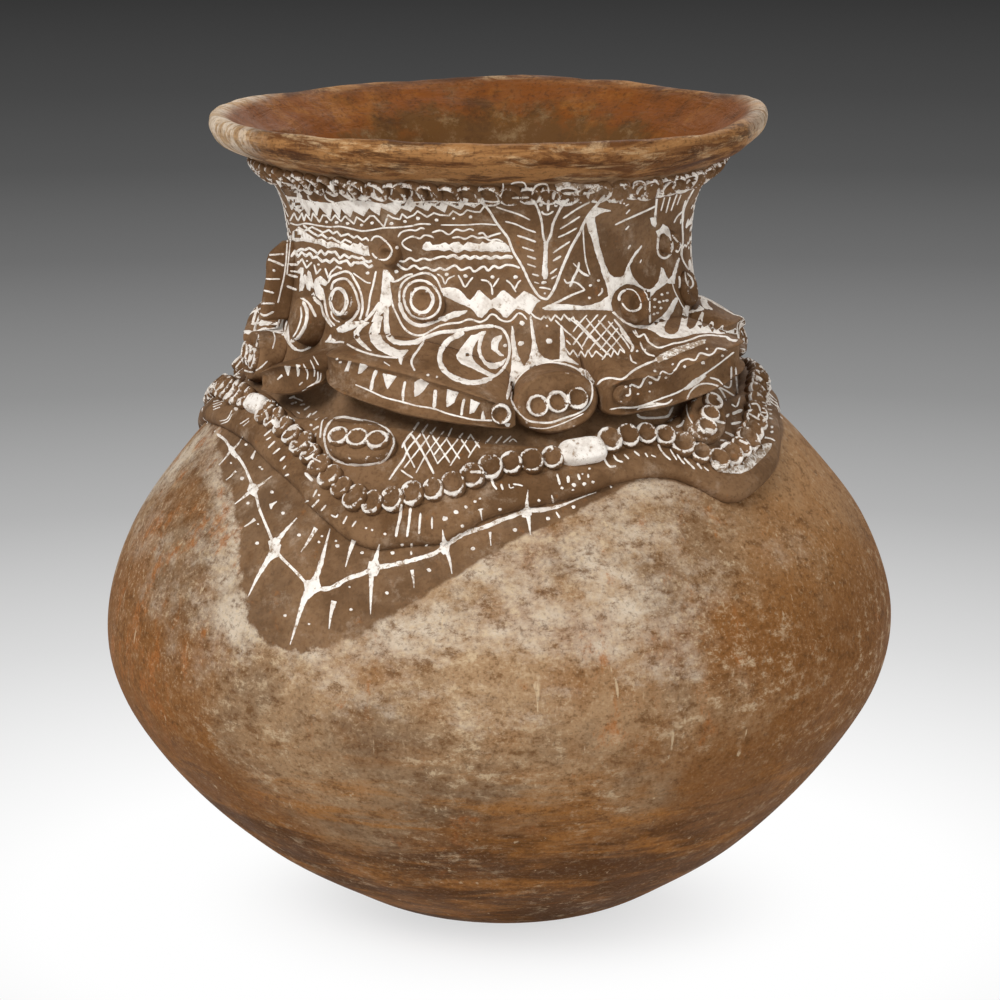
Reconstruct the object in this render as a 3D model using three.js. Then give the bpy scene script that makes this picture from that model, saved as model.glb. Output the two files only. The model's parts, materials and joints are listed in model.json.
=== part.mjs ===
import * as THREE from 'three';

// Sago storage pot in millimetres: +Z up, the front faces -Y and the foot rests on z = 0.

// Vessel
const footRadius = 50;
const bellyRadius = 241;
const neckRadius = 122;
const rimRadius = 169;
const bellyHeight = 188;
const shoulderRise = 227;
const rimRise = 80;
const wallThickness = 11;
const lipThickness = 13;

// Clearances: between courses of the wall, and under each applied piece
const courseGap = 0.3;
const luteGap = 0.4;

// Hand forming: the jar leans to its left, is a little out of round and has a wavy rim
const leanSlope = 0.0215;
const settleHeight = 80;
const ovalShare = 0.005;
const rimWave = 1.6;
const rimDips = [[0, 70, 1.8], [-138, 30, -3], [131, 17, -3.4], [180, 55, -3.2], [97, 15, 3], [78, 16, 4]];

// Strip pressed with the fingertips under the lip
const rimStripDrop = 3;
const rimStripHalfWidth = 7.5;
const rimStripThickness = 4;
const rimStripPitch = 11.5;

// Sheet of clay laid over the shoulder
const mantleThickness = 7;
const mantleLevel = 0.5947;
const mantleTopSwing = 5;
const mantleSkirt = 15;
const mantleTongue = 7;
const mantleFlare = 2.7;

// Pressed strips on the shoulder, running between the knobs
const stripLevelShare = 0.5066;
const stripSwing = 12;
const stripHalfWidth = 7;
const stripThickness = 6.5;
const stripPitch = 11.5;
const knobHalfWidth = 13.5;
const knobHalfHeight = 9;
const knobThickness = 8.5;

// Faces round the neck
const faceTurn = 13.5;
const eyeTurn = 30;
const eyeLevel = 0.9075;
const eyeRadius = 11;
const eyeThickness = 4.5;
const snoutLevel = 0.696;
const sideSnoutLevel = 0.718;
const snoutOut = 20.3;
const sideSnoutOut = 17;
const snoutTilt = 12;
const snoutHalfWidth = 25.5;
const snoutHalfHeight = 18;
const sideSnoutHalfHeight = 15;
const snoutEdge = 5;
const pelletRadius = 6.2;
const pelletPitch = 12;
const pelletThickness = 4;

// Jaw ledges on both sides of each snout
const jawStartTurn = 10.8;
const jawLevel = 0.6696;
const jawLift = 25;
const jawBrow = 17;
const jawLipHalf = 12;
const jawOutNear = 29;
const jawOutFar = 38;
const jawTip = 4;
const jawUndercut = 7;
const jawPelletRadius = 5.5;
const jawPelletThickness = 4;

// Pieces at the corners between the faces
const cornerPelletLevel = 1.044;
const cornerPelletRadius = 7;
const cornerPelletThickness = 6;
const medallionLevel = 0.555;
const medallionHalfWidth = 21;
const medallionHalfHeight = 13.5;
const medallionThickness = 8;

// Left face only
const flangeTurn = -76;
const flangeLowLevel = 0.815;
const flangeHighLevel = 1.0176;
const flangeHalfThickness = 5.5;
const flangeOut = 17;
const cheekTurn = -55.5;
const cheekLevel = 0.836;
const cheekHalfWidth = 10;
const cheekHalfHeight = 15;
const cheekThickness = 15;

const turnSteps = 40;
const radians = Math.PI / 180;
const neckHeight = bellyHeight + shoulderRise;
const rimHeight = neckHeight + rimRise;

const mix = (from, to, share) => from + (to - from) * share;
const clamp = (value) => Math.min(1, Math.max(0, value));
const smooth = (value) => clamp(value) ** 2 * (3 - 2 * clamp(value));

// A bell-shaped share, 1 at one angle round the jar and fading over a width
const bell = (turn, centre, width) => Math.exp(-(((((turn - centre + 540) % 360) - 180) / width) ** 2));

// Heights of the applied pieces follow the shoulder: level 0 is the belly, level 1 the neck
const heightOf = (level) => bellyHeight + shoulderRise * level;
const mantleTop = heightOf(mantleLevel);
const stripHeight = heightOf(stripLevelShare);
const jawHeight = heightOf(jawLevel);
const eyeHeight = heightOf(eyeLevel);

// Outer profile: shares of the way from foot to belly, belly to neck, neck to lip
const bowlShape = [[0, 0], [0.16, 0.043], [0.305, 0.117], [0.54, 0.266], [0.785, 0.505], [0.957, 0.76], [1, 1]];
const shoulderShape = [[0.865, 0.23], [0.571, 0.44], [0.27, 0.604], [0.095, 0.75], [0.018, 0.89], [0, 1]];
const throatShape = [[0.045, 0.27], [0.14, 0.425], [0.3, 0.585], [0.5, 0.69]];
const outlinePoints = [];
for (const [out, up] of bowlShape) {
  outlinePoints.push(new THREE.Vector2(mix(footRadius, bellyRadius, out), bellyHeight * up));
}
for (const [out, up] of shoulderShape) {
  outlinePoints.push(new THREE.Vector2(mix(neckRadius, bellyRadius, out), mix(bellyHeight, neckHeight, up)));
}
for (const [out, up] of throatShape) {
  outlinePoints.push(new THREE.Vector2(mix(neckRadius, rimRadius, out), mix(neckHeight, rimHeight, up)));
}
const outline = new THREE.SplineCurve(outlinePoints);
const spans = outlinePoints.length - 1;

// The wall line is the outline in straight steps, with its length along the clay
const wallLine = [];
for (let span = 0; span < spans; span += 1) {
  const steps = span > 7 && span < 11 ? 3 : 2;
  for (let step = 0; step < steps; step += 1) {
    wallLine.push({ at: span + step / steps, point: outline.getPoint((span + step / steps) / spans) });
  }
}
wallLine.push({ at: spans, point: outline.getPoint(1) });
wallLine[0].along = 0;
for (let i = 1; i < wallLine.length; i += 1) {
  wallLine[i].along = wallLine[i - 1].along + wallLine[i].point.distanceTo(wallLine[i - 1].point);
}

function wallBy(key, value) {
  let i = 1;
  while (i < wallLine.length - 1 && key(wallLine[i]) < value) {
    i += 1;
  }
  const low = wallLine[i - 1];
  const high = wallLine[i];
  const share = (value - key(low)) / (key(high) - key(low));
  const run = high.point.clone().sub(low.point).normalize();
  return {
    at: mix(low.at, high.at, share),
    along: mix(low.along, high.along, share),
    radius: mix(low.point.x, high.point.x, share),
    height: mix(low.point.y, high.point.y, share),
    outX: run.y,
    outY: -run.x,
  };
}

const wallAtHeight = (height) => wallBy((knot) => knot.point.y, height);
const wallAlong = (along) => wallBy((knot) => knot.along, along);
const wallRadius = (height) => wallAtHeight(height).radius;

// A point at an angle from the front (+ to the viewer's right), a radius and a height
function around(turn, radius, height) {
  return new THREE.Vector3(radius * Math.sin(turn * radians), -radius * Math.cos(turn * radians), height);
}

// A point standing off the wall by lift, measured square to the clay
function onWall(turn, along, lift) {
  const wall = wallAlong(along);
  return around(turn, wall.radius + wall.outX * lift, wall.height + wall.outY * lift);
}

function handFormed(point) {
  const rise = smooth(point.z / settleHeight);
  const turn = Math.atan2(point.x, -point.y);
  const swell = 1 + ovalShare * Math.cos(2 * turn - 1.2) * rise;
  let wave = rimWave * Math.cos(2 * turn + 0.5);
  for (const [centre, width, dip] of rimDips) {
    wave += dip * bell(turn / radians, centre, width);
  }
  wave *= smooth((point.z - neckHeight) / (rimHeight - neckHeight));
  const leaned = point.x * swell;
  const tip = rise * (1 - smooth((point.z - bellyHeight) / (neckHeight - bellyHeight)));
  return [leaned - point.z * leanSlope, point.y * swell, point.z + leaned * leanSlope * tip + wave];
}

const pot = new THREE.Group();
pot.name = 'sago_storage_pot';

// Lays a skin over a run of matching loops; the ends close on a point each, or on one another
function addSkin(name, look, loops, endPoints) {
  const count = loops[0].length;
  const corners = loops.flat();
  const faces = [];
  const bands = endPoints ? loops.length - 1 : loops.length;
  for (let band = 0; band < bands; band += 1) {
    const here = band * count;
    const next = ((band + 1) % loops.length) * count;
    for (let i = 0; i < count; i += 1) {
      const j = (i + 1) % count;
      faces.push([here + i, here + j, next + j], [here + i, next + j, next + i]);
    }
  }
  if (endPoints) {
    const last = (loops.length - 1) * count;
    const startTip = corners.push(endPoints[0]) - 1;
    const endTip = corners.push(endPoints[1]) - 1;
    for (let i = 0; i < count; i += 1) {
      const j = (i + 1) % count;
      faces.push([startTip, j, i], [endTip, last + i, last + j]);
    }
  }
  const place = corners.map((corner) => new THREE.Vector3(...handFormed(corner)));
  let volume = 0;
  for (const [a, b, c] of faces) {
    volume += place[a].dot(place[b].clone().cross(place[c]));
  }
  const order = volume > 0 ? faces : faces.map(([a, b, c]) => [a, c, b]);
  const geometry = new THREE.BufferGeometry();
  geometry.setAttribute('position', new THREE.Float32BufferAttribute(place.flatMap((p) => [p.x, p.y, p.z]), 3));
  geometry.setIndex(order.flat());
  geometry.computeVertexNormals();
  const mesh = new THREE.Mesh(geometry, new THREE.MeshStandardMaterial(look));
  mesh.name = name;
  pot.add(mesh);
}

function middle(points) {
  const total = new THREE.Vector3();
  points.forEach((point) => total.add(point));
  return total.divideScalar(points.length);
}

const bareClay = { color: 0x9a7a54, roughness: 0.85, metalness: 0 };
const sootyClay = { color: 0x64472a, roughness: 0.9, metalness: 0 };
const lipClay = { color: 0xa27c52, roughness: 0.82, metalness: 0 };
const darkSlip = { color: 0x6b4f38, roughness: 0.88, metalness: 0 };
const limeWhite = { color: 0xdedad4, roughness: 0.95, metalness: 0 };

// Wall courses
function ringLoops(section, turned) {
  return section.map(([radius, height]) => turned.map((turn) => around(turn, radius, height)));
}

const fullTurn = Array.from({ length: turnSteps }, (_, i) => (i * 360) / turnSteps);

// Outer and inner corner of the wall at a place on the outline, shifted along the clay
function wallCorners(at, shift) {
  const point = outline.getPoint(at / spans);
  const run = outline.getTangent(at / spans);
  const outer = [point.x + run.x * shift, point.y + run.y * shift];
  const inner = [outer[0] - run.y * wallThickness, outer[1] + run.x * wallThickness];
  return { outer, inner };
}

// One course of the wall between two places on the outline: up the outside, then down the inside
function courseSection(from, to, gapBelow) {
  const low = wallCorners(from, gapBelow);
  const high = wallCorners(to, -courseGap / 2);
  const knots = wallLine.filter((knot) => knot.at > from + 0.01 && knot.at < to - 0.01);
  const inner = knots.filter((knot) => Number.isInteger(knot.at)).reverse();
  return [
    low.outer,
    ...knots.map((knot) => [knot.point.x, knot.point.y]),
    high.outer,
    high.inner,
    ...inner.map((knot) => wallCorners(knot.at, 0).inner),
    low.inner,
  ];
}

function addCourse(name, look, from, to) {
  addSkin(name, look, ringLoops(courseSection(from, to, courseGap / 2), fullTurn));
}

const bowlTop = 3;
const lowerTop = 5;
const upperTop = 7;
const shoulderTop = 10;
const bowlSection = courseSection(0, bowlTop, 0);
const bowlInside = bowlSection.pop();
bowlSection.push([bowlInside[0], Math.max(bowlInside[1], wallThickness)]);
addSkin('base_bowl', sootyClay, ringLoops(bowlSection, fullTurn), [
  new THREE.Vector3(0, 0, 0),
  new THREE.Vector3(0, 0, wallThickness),
]);
addCourse('lower_belly_wall', bareClay, bowlTop, lowerTop);
addCourse('upper_belly_wall', bareClay, lowerTop, upperTop);
addCourse('shoulder_wall', bareClay, upperTop, shoulderTop);
addCourse('neck_collar', darkSlip, shoulderTop, spans);

// Lip turned out above the collar, its mouth side sloping straight down into the throat
const lipRoot = wallCorners(spans, courseGap / 2);
const [lipRootX, lipRootY] = lipRoot.outer;
const lipRun = rimRadius - lipRootX;
const lipRise = rimHeight - lipRootY;
const lipShape = [[0, 0], [0.44, 0.18], [0.8, 0.4], [0.98, 0.66], [1, 0.83], [0.93, 0.96], [0.78, 1]];
const lipSection = lipShape.map(([out, up]) => [lipRootX + lipRun * out, lipRootY + lipRise * up]);
const lipCrest = lipSection[lipSection.length - 1];
lipSection.push([lipCrest[0] - lipThickness * 0.54, lipCrest[1] - lipThickness * 0.2]);
lipSection.push([lipCrest[0] - lipThickness * 1.25, lipCrest[1] - lipThickness * 0.7]);
lipSection.push(lipRoot.inner);
addSkin('rim_lip', lipClay, ringLoops(lipSection, fullTurn));

// Section of a pressed strip, with its middle at a length along the wall
function stripLoop(turn, along, halfWidth, base, thickness, press) {
  const top = base + thickness * press;
  return [
    onWall(turn, along - halfWidth, base),
    onWall(turn, along - halfWidth * 0.8, base + thickness * press * 0.6),
    onWall(turn, along, top),
    onWall(turn, along + halfWidth * 0.8, base + thickness * press * 0.6),
    onWall(turn, along + halfWidth, base),
  ];
}

const rimStripAlong = wallLine[wallLine.length - 1].along - rimStripHalfWidth - rimStripDrop;
const rimStripGirth = 2 * Math.PI * wallAlong(rimStripAlong).radius;
const rimLobes = Math.round(rimStripGirth / rimStripPitch);
const rimLoops = [];
for (let i = 0; i < rimLobes * 2; i += 1) {
  const press = i % 2 ? 1 : 0.5;
  const halfWidth = rimStripHalfWidth * (i % 2 ? 1 : 0.85);
  rimLoops.push(stripLoop((i * 180) / rimLobes, rimStripAlong, halfWidth, luteGap, rimStripThickness, press));
}
addSkin('rim_strip', darkSlip, rimLoops);

// Path of the shoulder strips: angle and share of the swing, closed round the jar
const stripPath = [
  [-54, 1.55], [-47, 1.15], [-39, 0.55], [-30, -0.5], [-21.5, -1.3], [-14, -0.85], [-7, -0.45], [0, 0.25],
  [8, 0.45], [17.6, 0.75], [23, 1.1], [30, 1.2], [35, 1.05], [39.5, 0.4], [44, -0.3], [49, -0.2], [54, 0.03],
  [59, 0.37], [65, 0.85], [71, 1.35], [79, 1.7], [90, 1.75], [104, 1.4], [122, 0.7], [146, -1.1], [170, 0.1],
  [196, 0.5], [218, 0.2], [240, -1.1], [258, 0.7], [272, 1.45], [284, 1.75], [296, 1.85],
];
const knobs = [
  { turn: -61, share: 0.75 },
  { turn: 17.2, share: 1 },
  { turn: 122, share: 1 },
  { turn: 196, share: 1 },
];

function stripRise(turn) {
  const count = stripPath.length;
  const wanted = turn < stripPath[0][0] ? turn + 360 : turn % 360 > 306 ? (turn % 360) - 360 : turn % 360;
  let i = count - 1;
  while (stripPath[i][0] > wanted) {
    i -= 1;
  }
  const pick = (k) => {
    const index = (k + count) % count;
    return [stripPath[index][0] + 360 * Math.floor(k / count), stripPath[index][1]];
  };
  const [before, start, end, after] = [pick(i - 1), pick(i), pick(i + 1), pick(i + 2)];
  const span = end[0] - start[0];
  const share = (wanted - start[0]) / span;
  const startSlope = ((end[1] - before[1]) / (end[0] - before[0])) * span;
  const endSlope = ((after[1] - start[1]) / (after[0] - start[0])) * span;
  const square = share * share;
  const cube = square * share;
  return start[1] * (2 * cube - 3 * square + 1) + startSlope * (cube - 2 * square + share)
    + end[1] * (3 * square - 2 * cube) + endSlope * (cube - square);
}

const stripLevel = (turn) => stripHeight + stripSwing * stripRise(turn);
const mantleWave = (turn) => mantleTop - mantleTopSwing * Math.cos(4 * (turn - faceTurn) * radians);
const mantleUpper = (turn) => Math.max(mantleWave(turn), stripLevel(turn) + stripHalfWidth);
const mantleDrop = (turn) => mantleTongue * bell(turn, -10, 13) + mantleFlare * bell(turn, 52, 36);
const mantleLower = (turn) => stripLevel(turn) - mantleSkirt - mantleDrop(turn);
const mantleCrest = (turn) => mantleUpper(turn) + mantleThickness * 0.75 + 2;

// Mantle: a sheet with rounded edges
const mantleLoops = [];
const mantleSteps = 72;
for (let i = 0; i < mantleSteps; i += 1) {
  const turn = (i * 360) / mantleSteps;
  const low = wallAtHeight(mantleLower(turn)).along;
  const high = wallAtHeight(mantleUpper(turn)).along;
  const thick = luteGap + mantleThickness;
  const loop = [onWall(turn, low - 1, luteGap + mantleThickness * 0.5), onWall(turn, low + 4, thick)];
  for (const share of [0.2, 0.4, 0.6, 0.8]) {
    loop.push(onWall(turn, mix(low, high, share), thick));
  }
  loop.push(onWall(turn, high - 2, thick), onWall(turn, high, luteGap + mantleThickness * 0.5));
  for (const share of [0.98, 0.78, 0.58, 0.38, 0.18, 0]) {
    loop.push(onWall(turn, mix(low, high, share), luteGap));
  }
  mantleLoops.push(loop);
}
addSkin('shoulder_mantle', darkSlip, mantleLoops);

// Shoulder strips stop short of the knobs
const onMantle = luteGap + mantleThickness + luteGap;
const clearOf = (knob) => (knobHalfWidth * knob.share + 1) / (wallRadius(stripLevel(knob.turn)) * radians);
for (let i = 0; i < knobs.length; i += 1) {
  const start = knobs[i];
  const end = knobs[(i + 1) % knobs.length];
  const first = start.turn + clearOf(start);
  const run = ((end.turn - start.turn + 360) % 360) - clearOf(start) - clearOf(end);
  const lobes = Math.round((run * radians * wallRadius(stripHeight) * 1.06) / stripPitch);
  const loops = [];
  for (let k = 0; k <= lobes * 2; k += 1) {
    const turn = first + (run * k) / (lobes * 2);
    const along = wallAtHeight(stripLevel(turn)).along;
    const press = k % 2 ? 1 : 0.5;
    const halfWidth = stripHalfWidth * (k % 2 ? 1 : 0.8);
    loops.push(stripLoop(turn, along, halfWidth, onMantle, stripThickness, press));
  }
  const tips = [middle(loops[0]), middle(loops[loops.length - 1])];
  addSkin(`shoulder_strip_${i + 1}`, darkSlip, loops, tips);
}

// Rounded pad on the wall: an oval of half sizes, standing on a base, with an optional hollow
function addPad(name, look, spot) {
  const wall = wallAtHeight(spot.height);
  const steps = spot.steps ?? 16;
  const slant = (spot.slant ?? 0) * radians;
  const at = (share, angle, lift) => {
    const sideways = spot.halfWidth * share * Math.cos(angle);
    const upward = spot.halfHeight * share * Math.sin(angle);
    const u = sideways * Math.cos(slant) - upward * Math.sin(slant);
    const v = sideways * Math.sin(slant) + upward * Math.cos(slant);
    return onWall(spot.turn + u / (wall.radius * radians), wall.along + v, spot.base + lift);
  };
  const turns = Array.from({ length: steps }, (_, i) => (i * 2 * Math.PI) / steps);
  const loop = (share, lift) => turns.map((angle) => at(share, angle, lift));
  const loops = [
    loop(0.5, 0),
    loop(0.97, 0),
    loop(1, spot.thickness * 0.5),
    loop(0.84, spot.thickness * 0.92),
    loop(0.52, spot.thickness),
  ];
  const crown = spot.thickness * (spot.hollow ? 0.55 : 1.04);
  addSkin(name, look, loops, [at(0, 0, 0), at(0, 0, crown)]);
}

// Chain of three ring pellets in a row; place maps sideways, upward and lift to the jar
function addChain(name, look, place) {
  const loops = [];
  const last = 12;
  const halfRun = pelletPitch + pelletRadius;
  const heightAt = (u, v) => {
    const centre = Math.max(-1, Math.min(1, Math.round(u / pelletPitch))) * pelletPitch;
    const share = Math.min(1, Math.hypot(u - centre, v) / pelletRadius);
    return pelletThickness * (share < 0.6 ? mix(0.5, 1, share / 0.6) : mix(1, 0.3, (share - 0.6) / 0.4));
  };
  for (let i = 0; i <= last; i += 1) {
    const u = mix(-halfRun, halfRun, clamp(i / last)) * 0.985;
    const centre = Math.max(-1, Math.min(1, Math.round(u / pelletPitch))) * pelletPitch;
    const half = Math.max(1.6, Math.sqrt(Math.max(0, pelletRadius ** 2 - (u - centre) ** 2)));
    loops.push([
      place(u, -half, 0),
      place(u, -half * 0.92, heightAt(u, half)),
      place(u, -half * 0.5, heightAt(u, half * 0.5)),
      place(u, 0, heightAt(u, 0)),
      place(u, half * 0.5, heightAt(u, half * 0.5)),
      place(u, half * 0.92, heightAt(u, half)),
      place(u, half, 0),
    ]);
  }
  addSkin(name, look, loops, [middle(loops[0]), middle(loops[last])]);
}

// Snout: an oval block standing out from the wall, its front nearly upright
function snoutFrame(face) {
  const tilt = snoutTilt * radians;
  const slant = face.slant * radians;
  const out = around(face.turn, Math.cos(tilt), Math.sin(tilt));
  const side = around(face.turn + 90, 1, 0);
  const up = out.clone().cross(side);
  const level = side.clone().multiplyScalar(Math.cos(slant)).addScaledVector(up, Math.sin(slant));
  const rise = up.clone().multiplyScalar(Math.cos(slant)).addScaledVector(side, -Math.sin(slant));
  const height = heightOf(face.snoutLevel);
  const origin = around(face.turn, wallRadius(height) + face.snoutOut, height);
  return (u, v, w) => origin.clone().addScaledVector(level, u).addScaledVector(rise, v).addScaledVector(out, w);
}

function addSnout(name, face) {
  const place = snoutFrame(face);
  const steps = 18;
  const halfHeight = face.snoutHalfHeight;
  const front = (share, lift) => Array.from({ length: steps }, (_, i) => {
    const angle = (i * 2 * Math.PI) / steps;
    return place(snoutHalfWidth * share * Math.cos(angle), halfHeight * share * Math.sin(angle), lift);
  });
  const centre = heightOf(face.snoutLevel);
  const lowest = centre - halfHeight;
  const rootShare = 1 - (mantleCrest(face.turn) - lowest) / (2 * halfHeight);
  const onto = (point) => {
    const height = mix(centre + halfHeight, point.z, rootShare);
    const wall = wallAtHeight(height);
    const bearing = Math.atan2(point.x, -point.y) / radians;
    return around(bearing, wall.radius + luteGap / wall.outX, height);
  };
  const loops = [
    front(0.5, 0).map(onto),
    front(0.96, 0).map(onto),
    front(1, -snoutEdge),
    front(0.93, -snoutEdge * 0.25),
    front(0.72, 0),
  ];
  addSkin(name, darkSlip, loops, [onto(place(0, 0, 0)), place(0, 0, 0)]);
}

// Jaw ledge: sections from the snout out to the corner, overhanging the shoulder
function jawSection(jaw, share) {
  const rounding = share > 0.84 ? Math.sqrt(1 - ((share - 0.84) / 0.175) ** 2) : 1;
  const centre = jawHeight + jawLift * (jaw.lift * share ** 0.8 - jaw.drop);
  const swell = 0.4 + 0.6 * Math.sin(Math.PI * (0.06 + 0.8 * share));
  return {
    rounding,
    centre,
    bearing: jaw.turn + jaw.side * mix(jaw.start ?? jawStartTurn, jaw.reach, share),
    half: jawLipHalf * (jaw.slim ?? 1) * swell * mix(0.5, 1, rounding),
    lip: wallRadius(centre) + jaw.out * mix(jawOutNear, jawOutFar, share) * mix(0.45, 1, rounding),
  };
}

function addJaw(name, jaw) {
  const loops = [];
  const stations = 10;
  for (let i = 0; i <= stations; i += 1) {
    const share = i / stations;
    const { rounding, centre, bearing, half, lip } = jawSection(jaw, share);
    const top = centre + half;
    const bottom = centre - half;
    const rootHigh = top + mix(jaw.brow, jaw.tip ?? jawTip, share);
    const rootLow = Math.max(bottom + jawUndercut * rounding, mantleCrest(bearing));
    const root = (height) => wallRadius(height) + luteGap / wallAtHeight(height).outX;
    loops.push([
      around(bearing, root(rootHigh), rootHigh),
      around(bearing, mix(root(rootHigh), lip, 0.5), mix(rootHigh, top, 0.4)),
      around(bearing, lip - 4, top),
      around(bearing, lip, top - 3),
      around(bearing, lip + 1.5, centre),
      around(bearing, lip - 1, bottom + 2),
      around(bearing, lip - 5, bottom),
      around(bearing, mix(root(rootLow), lip, 0.5), mix(bottom, rootLow, 0.6)),
      around(bearing, root(rootLow), rootLow),
      around(bearing, root(mix(rootLow, rootHigh, 0.5)), mix(rootLow, rootHigh, 0.5)),
    ]);
  }
  addSkin(name, darkSlip, loops, [middle(loops[0]), middle(loops[stations])]);
}

// Small round pellet stuck on the inner end of a jaw lip
function addJawPellet(name, jaw, hollow) {
  const { bearing, centre, lip } = jawSection(jaw, 0.05);
  const out = around(bearing, 1, 0);
  const side = around(bearing + 90, 1, 0);
  const origin = around(bearing, lip + 1.5 + luteGap * 2.4, centre);
  const place = (share, angle, lift) => origin.clone()
    .addScaledVector(side, jawPelletRadius * share * Math.cos(angle))
    .addScaledVector(out, lift)
    .setZ(centre + jawPelletRadius * share * Math.sin(angle));
  const loop = (share, lift) => Array.from({ length: 10 }, (_, i) => place(share, (i * Math.PI) / 5, lift));
  const loops = [
    loop(0.95, 0),
    loop(1, jawPelletThickness * 0.5),
    loop(0.6, jawPelletThickness),
  ];
  const crown = jawPelletThickness * (hollow ? 0.5 : 1.1);
  addSkin(name, limeWhite, loops, [place(0, 0, 0), place(0, 0, crown)]);
}

// Jaw settings: share of the full reach out from the wall, angle reached, drop and rise of the lip
const broadSnout = { snoutLevel, snoutOut, snoutHalfHeight };
const smallSnout = { snoutLevel: sideSnoutLevel, snoutOut: sideSnoutOut, snoutHalfHeight: sideSnoutHalfHeight };
const faces = [
  {
    name: 'front', turn: faceTurn, slant: 8, eyeSlope: 3, eyeShift: -1,
    ...broadSnout,
    left: { out: 1, reach: 51.5, drop: 0.2, lift: 1, brow: jawBrow },
    right: { out: 1, reach: 52, drop: -0.04, lift: 0.8, brow: jawBrow, tip: jawTip * 2.5 },
  },
  {
    name: 'right', turn: faceTurn + 90, slant: 0, eyeSlope: -2, eyeShift: -3,
    ...smallSnout,
    left: { out: 0.62, reach: 35, drop: -0.55, lift: 0.48, brow: jawBrow },
    right: { out: 0.8, reach: 44, drop: -0.08, lift: 0.72, brow: jawBrow },
  },
  {
    name: 'back', turn: faceTurn + 180, slant: -4, eyeSlope: 0, eyeShift: 0,
    ...broadSnout,
    left: { out: 0.9, reach: 44, drop: 0, lift: 0.8, brow: jawBrow },
    right: { out: 0.9, reach: 44, drop: 0, lift: 0.8, brow: jawBrow },
  },
  {
    name: 'left', turn: faceTurn - 90, slant: 0, eyeSlope: 0, eyeShift: 3,
    ...smallSnout,
    snoutOut: sideSnoutOut * 0.76,
    left: { out: 0.45, reach: 44, drop: -0.32, lift: 0.56, brow: jawBrow },
    right: { out: 0.85, start: 19, reach: 37, drop: -0.2, lift: 0.4, brow: jawBrow * 0.2, slim: 0.8 },
  },
];
for (const face of faces) {
  const snoutPlace = snoutFrame(face);
  addSnout(`${face.name}_snout`, face);
  addChain(`${face.name}_snout_rings`, limeWhite, (u, v, w) => snoutPlace(u, v, luteGap + w));
  const leftJaw = { turn: face.turn, side: -1, ...face.left };
  const rightJaw = { turn: face.turn, side: 1, ...face.right };
  addJaw(`${face.name}_jaw_left`, leftJaw);
  addJaw(`${face.name}_jaw_right`, rightJaw);
  if (face.name === 'front') {
    addJawPellet('front_snout_ring', leftJaw, true);
    addJawPellet('front_snout_lump', rightJaw, false);
  }
  for (const side of [-1, 1]) {
    addPad(`${face.name}_eye_${side < 0 ? 'left' : 'right'}`, darkSlip, {
      turn: face.turn + side * eyeTurn + face.eyeShift,
      height: eyeHeight - side * face.eyeSlope,
      halfWidth: eyeRadius,
      halfHeight: eyeRadius,
      base: luteGap,
      thickness: eyeThickness,
      hollow: true,
    });
  }
}

// Corners between the faces
const corners = [
  { name: 'front_left', pellet: -28, medallion: -26.5, rise: 0, slant: 0, wide: 1 },
  { name: 'front_right', pellet: 58, medallion: 47.5, rise: 5, slant: 44, wide: 0.95 },
  { name: 'back_right', pellet: 150, medallion: 150, rise: 1, slant: 0, wide: 1 },
  { name: 'back_left', pellet: 240, medallion: 240, rise: 1, slant: 0, wide: 1 },
];
for (const corner of corners) {
  addPad(`${corner.name}_pellet`, darkSlip, {
    turn: corner.pellet,
    height: heightOf(cornerPelletLevel),
    halfWidth: cornerPelletRadius,
    halfHeight: cornerPelletRadius,
    base: luteGap,
    thickness: cornerPelletThickness,
    steps: 12,
  });
  const height = heightOf(medallionLevel) + corner.rise;
  const wall = wallAtHeight(height);
  addPad(`${corner.name}_medallion`, darkSlip, {
    turn: corner.medallion,
    height,
    halfWidth: medallionHalfWidth * corner.wide,
    halfHeight: medallionHalfHeight,
    slant: corner.slant,
    base: onMantle,
    thickness: medallionThickness,
  });
  const above = onMantle + medallionThickness * 1.04 + luteGap;
  const [across, upward] = [Math.cos(corner.slant * radians), Math.sin(corner.slant * radians)];
  addChain(`${corner.name}_medallion_rings`, limeWhite, (u, v, w) => {
    const bearing = corner.medallion + (u * across - v * upward) / (wall.radius * radians);
    return onWall(bearing, wall.along + u * upward + v * across, above + w);
  });
}

// White knobs where the shoulder strips meet
knobs.forEach((knob, i) => {
  addPad(`shoulder_knob_${i + 1}`, limeWhite, {
    turn: knob.turn,
    height: stripLevel(knob.turn),
    halfWidth: knobHalfWidth * knob.share,
    halfHeight: knobHalfHeight * knob.share,
    base: onMantle,
    thickness: knobThickness * knob.share,
    steps: 12,
  });
});

// Nose flange and cheek lump of the left face
const flangeLoops = [];
const flangeSteps = 6;
for (let i = 0; i <= flangeSteps; i += 1) {
  const share = i / flangeSteps;
  const height = heightOf(mix(flangeLowLevel, flangeHighLevel, share));
  const wall = wallAtHeight(height);
  const out = wall.radius + flangeOut * Math.sqrt(1 - clamp((share - 0.7) / 0.33) ** 2);
  const half = flangeHalfThickness * mix(1, 0.75, share);
  const across = half / (wall.radius * radians);
  const back = wall.radius + luteGap / wall.outX;
  flangeLoops.push([
    around(flangeTurn - across, back, height),
    around(flangeTurn - across * 0.8, mix(back, out, 0.75), height),
    around(flangeTurn, out, height),
    around(flangeTurn + across * 0.8, mix(back, out, 0.75), height),
    around(flangeTurn + across, back, height),
  ]);
}
addSkin('left_nose_flange', darkSlip, flangeLoops, [middle(flangeLoops[0]), middle(flangeLoops[flangeSteps])]);
addPad('left_cheek', darkSlip, {
  turn: cheekTurn,
  height: heightOf(cheekLevel),
  halfWidth: cheekHalfWidth,
  halfHeight: cheekHalfHeight,
  base: luteGap,
  thickness: cheekThickness,
});

export default pot;
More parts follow.
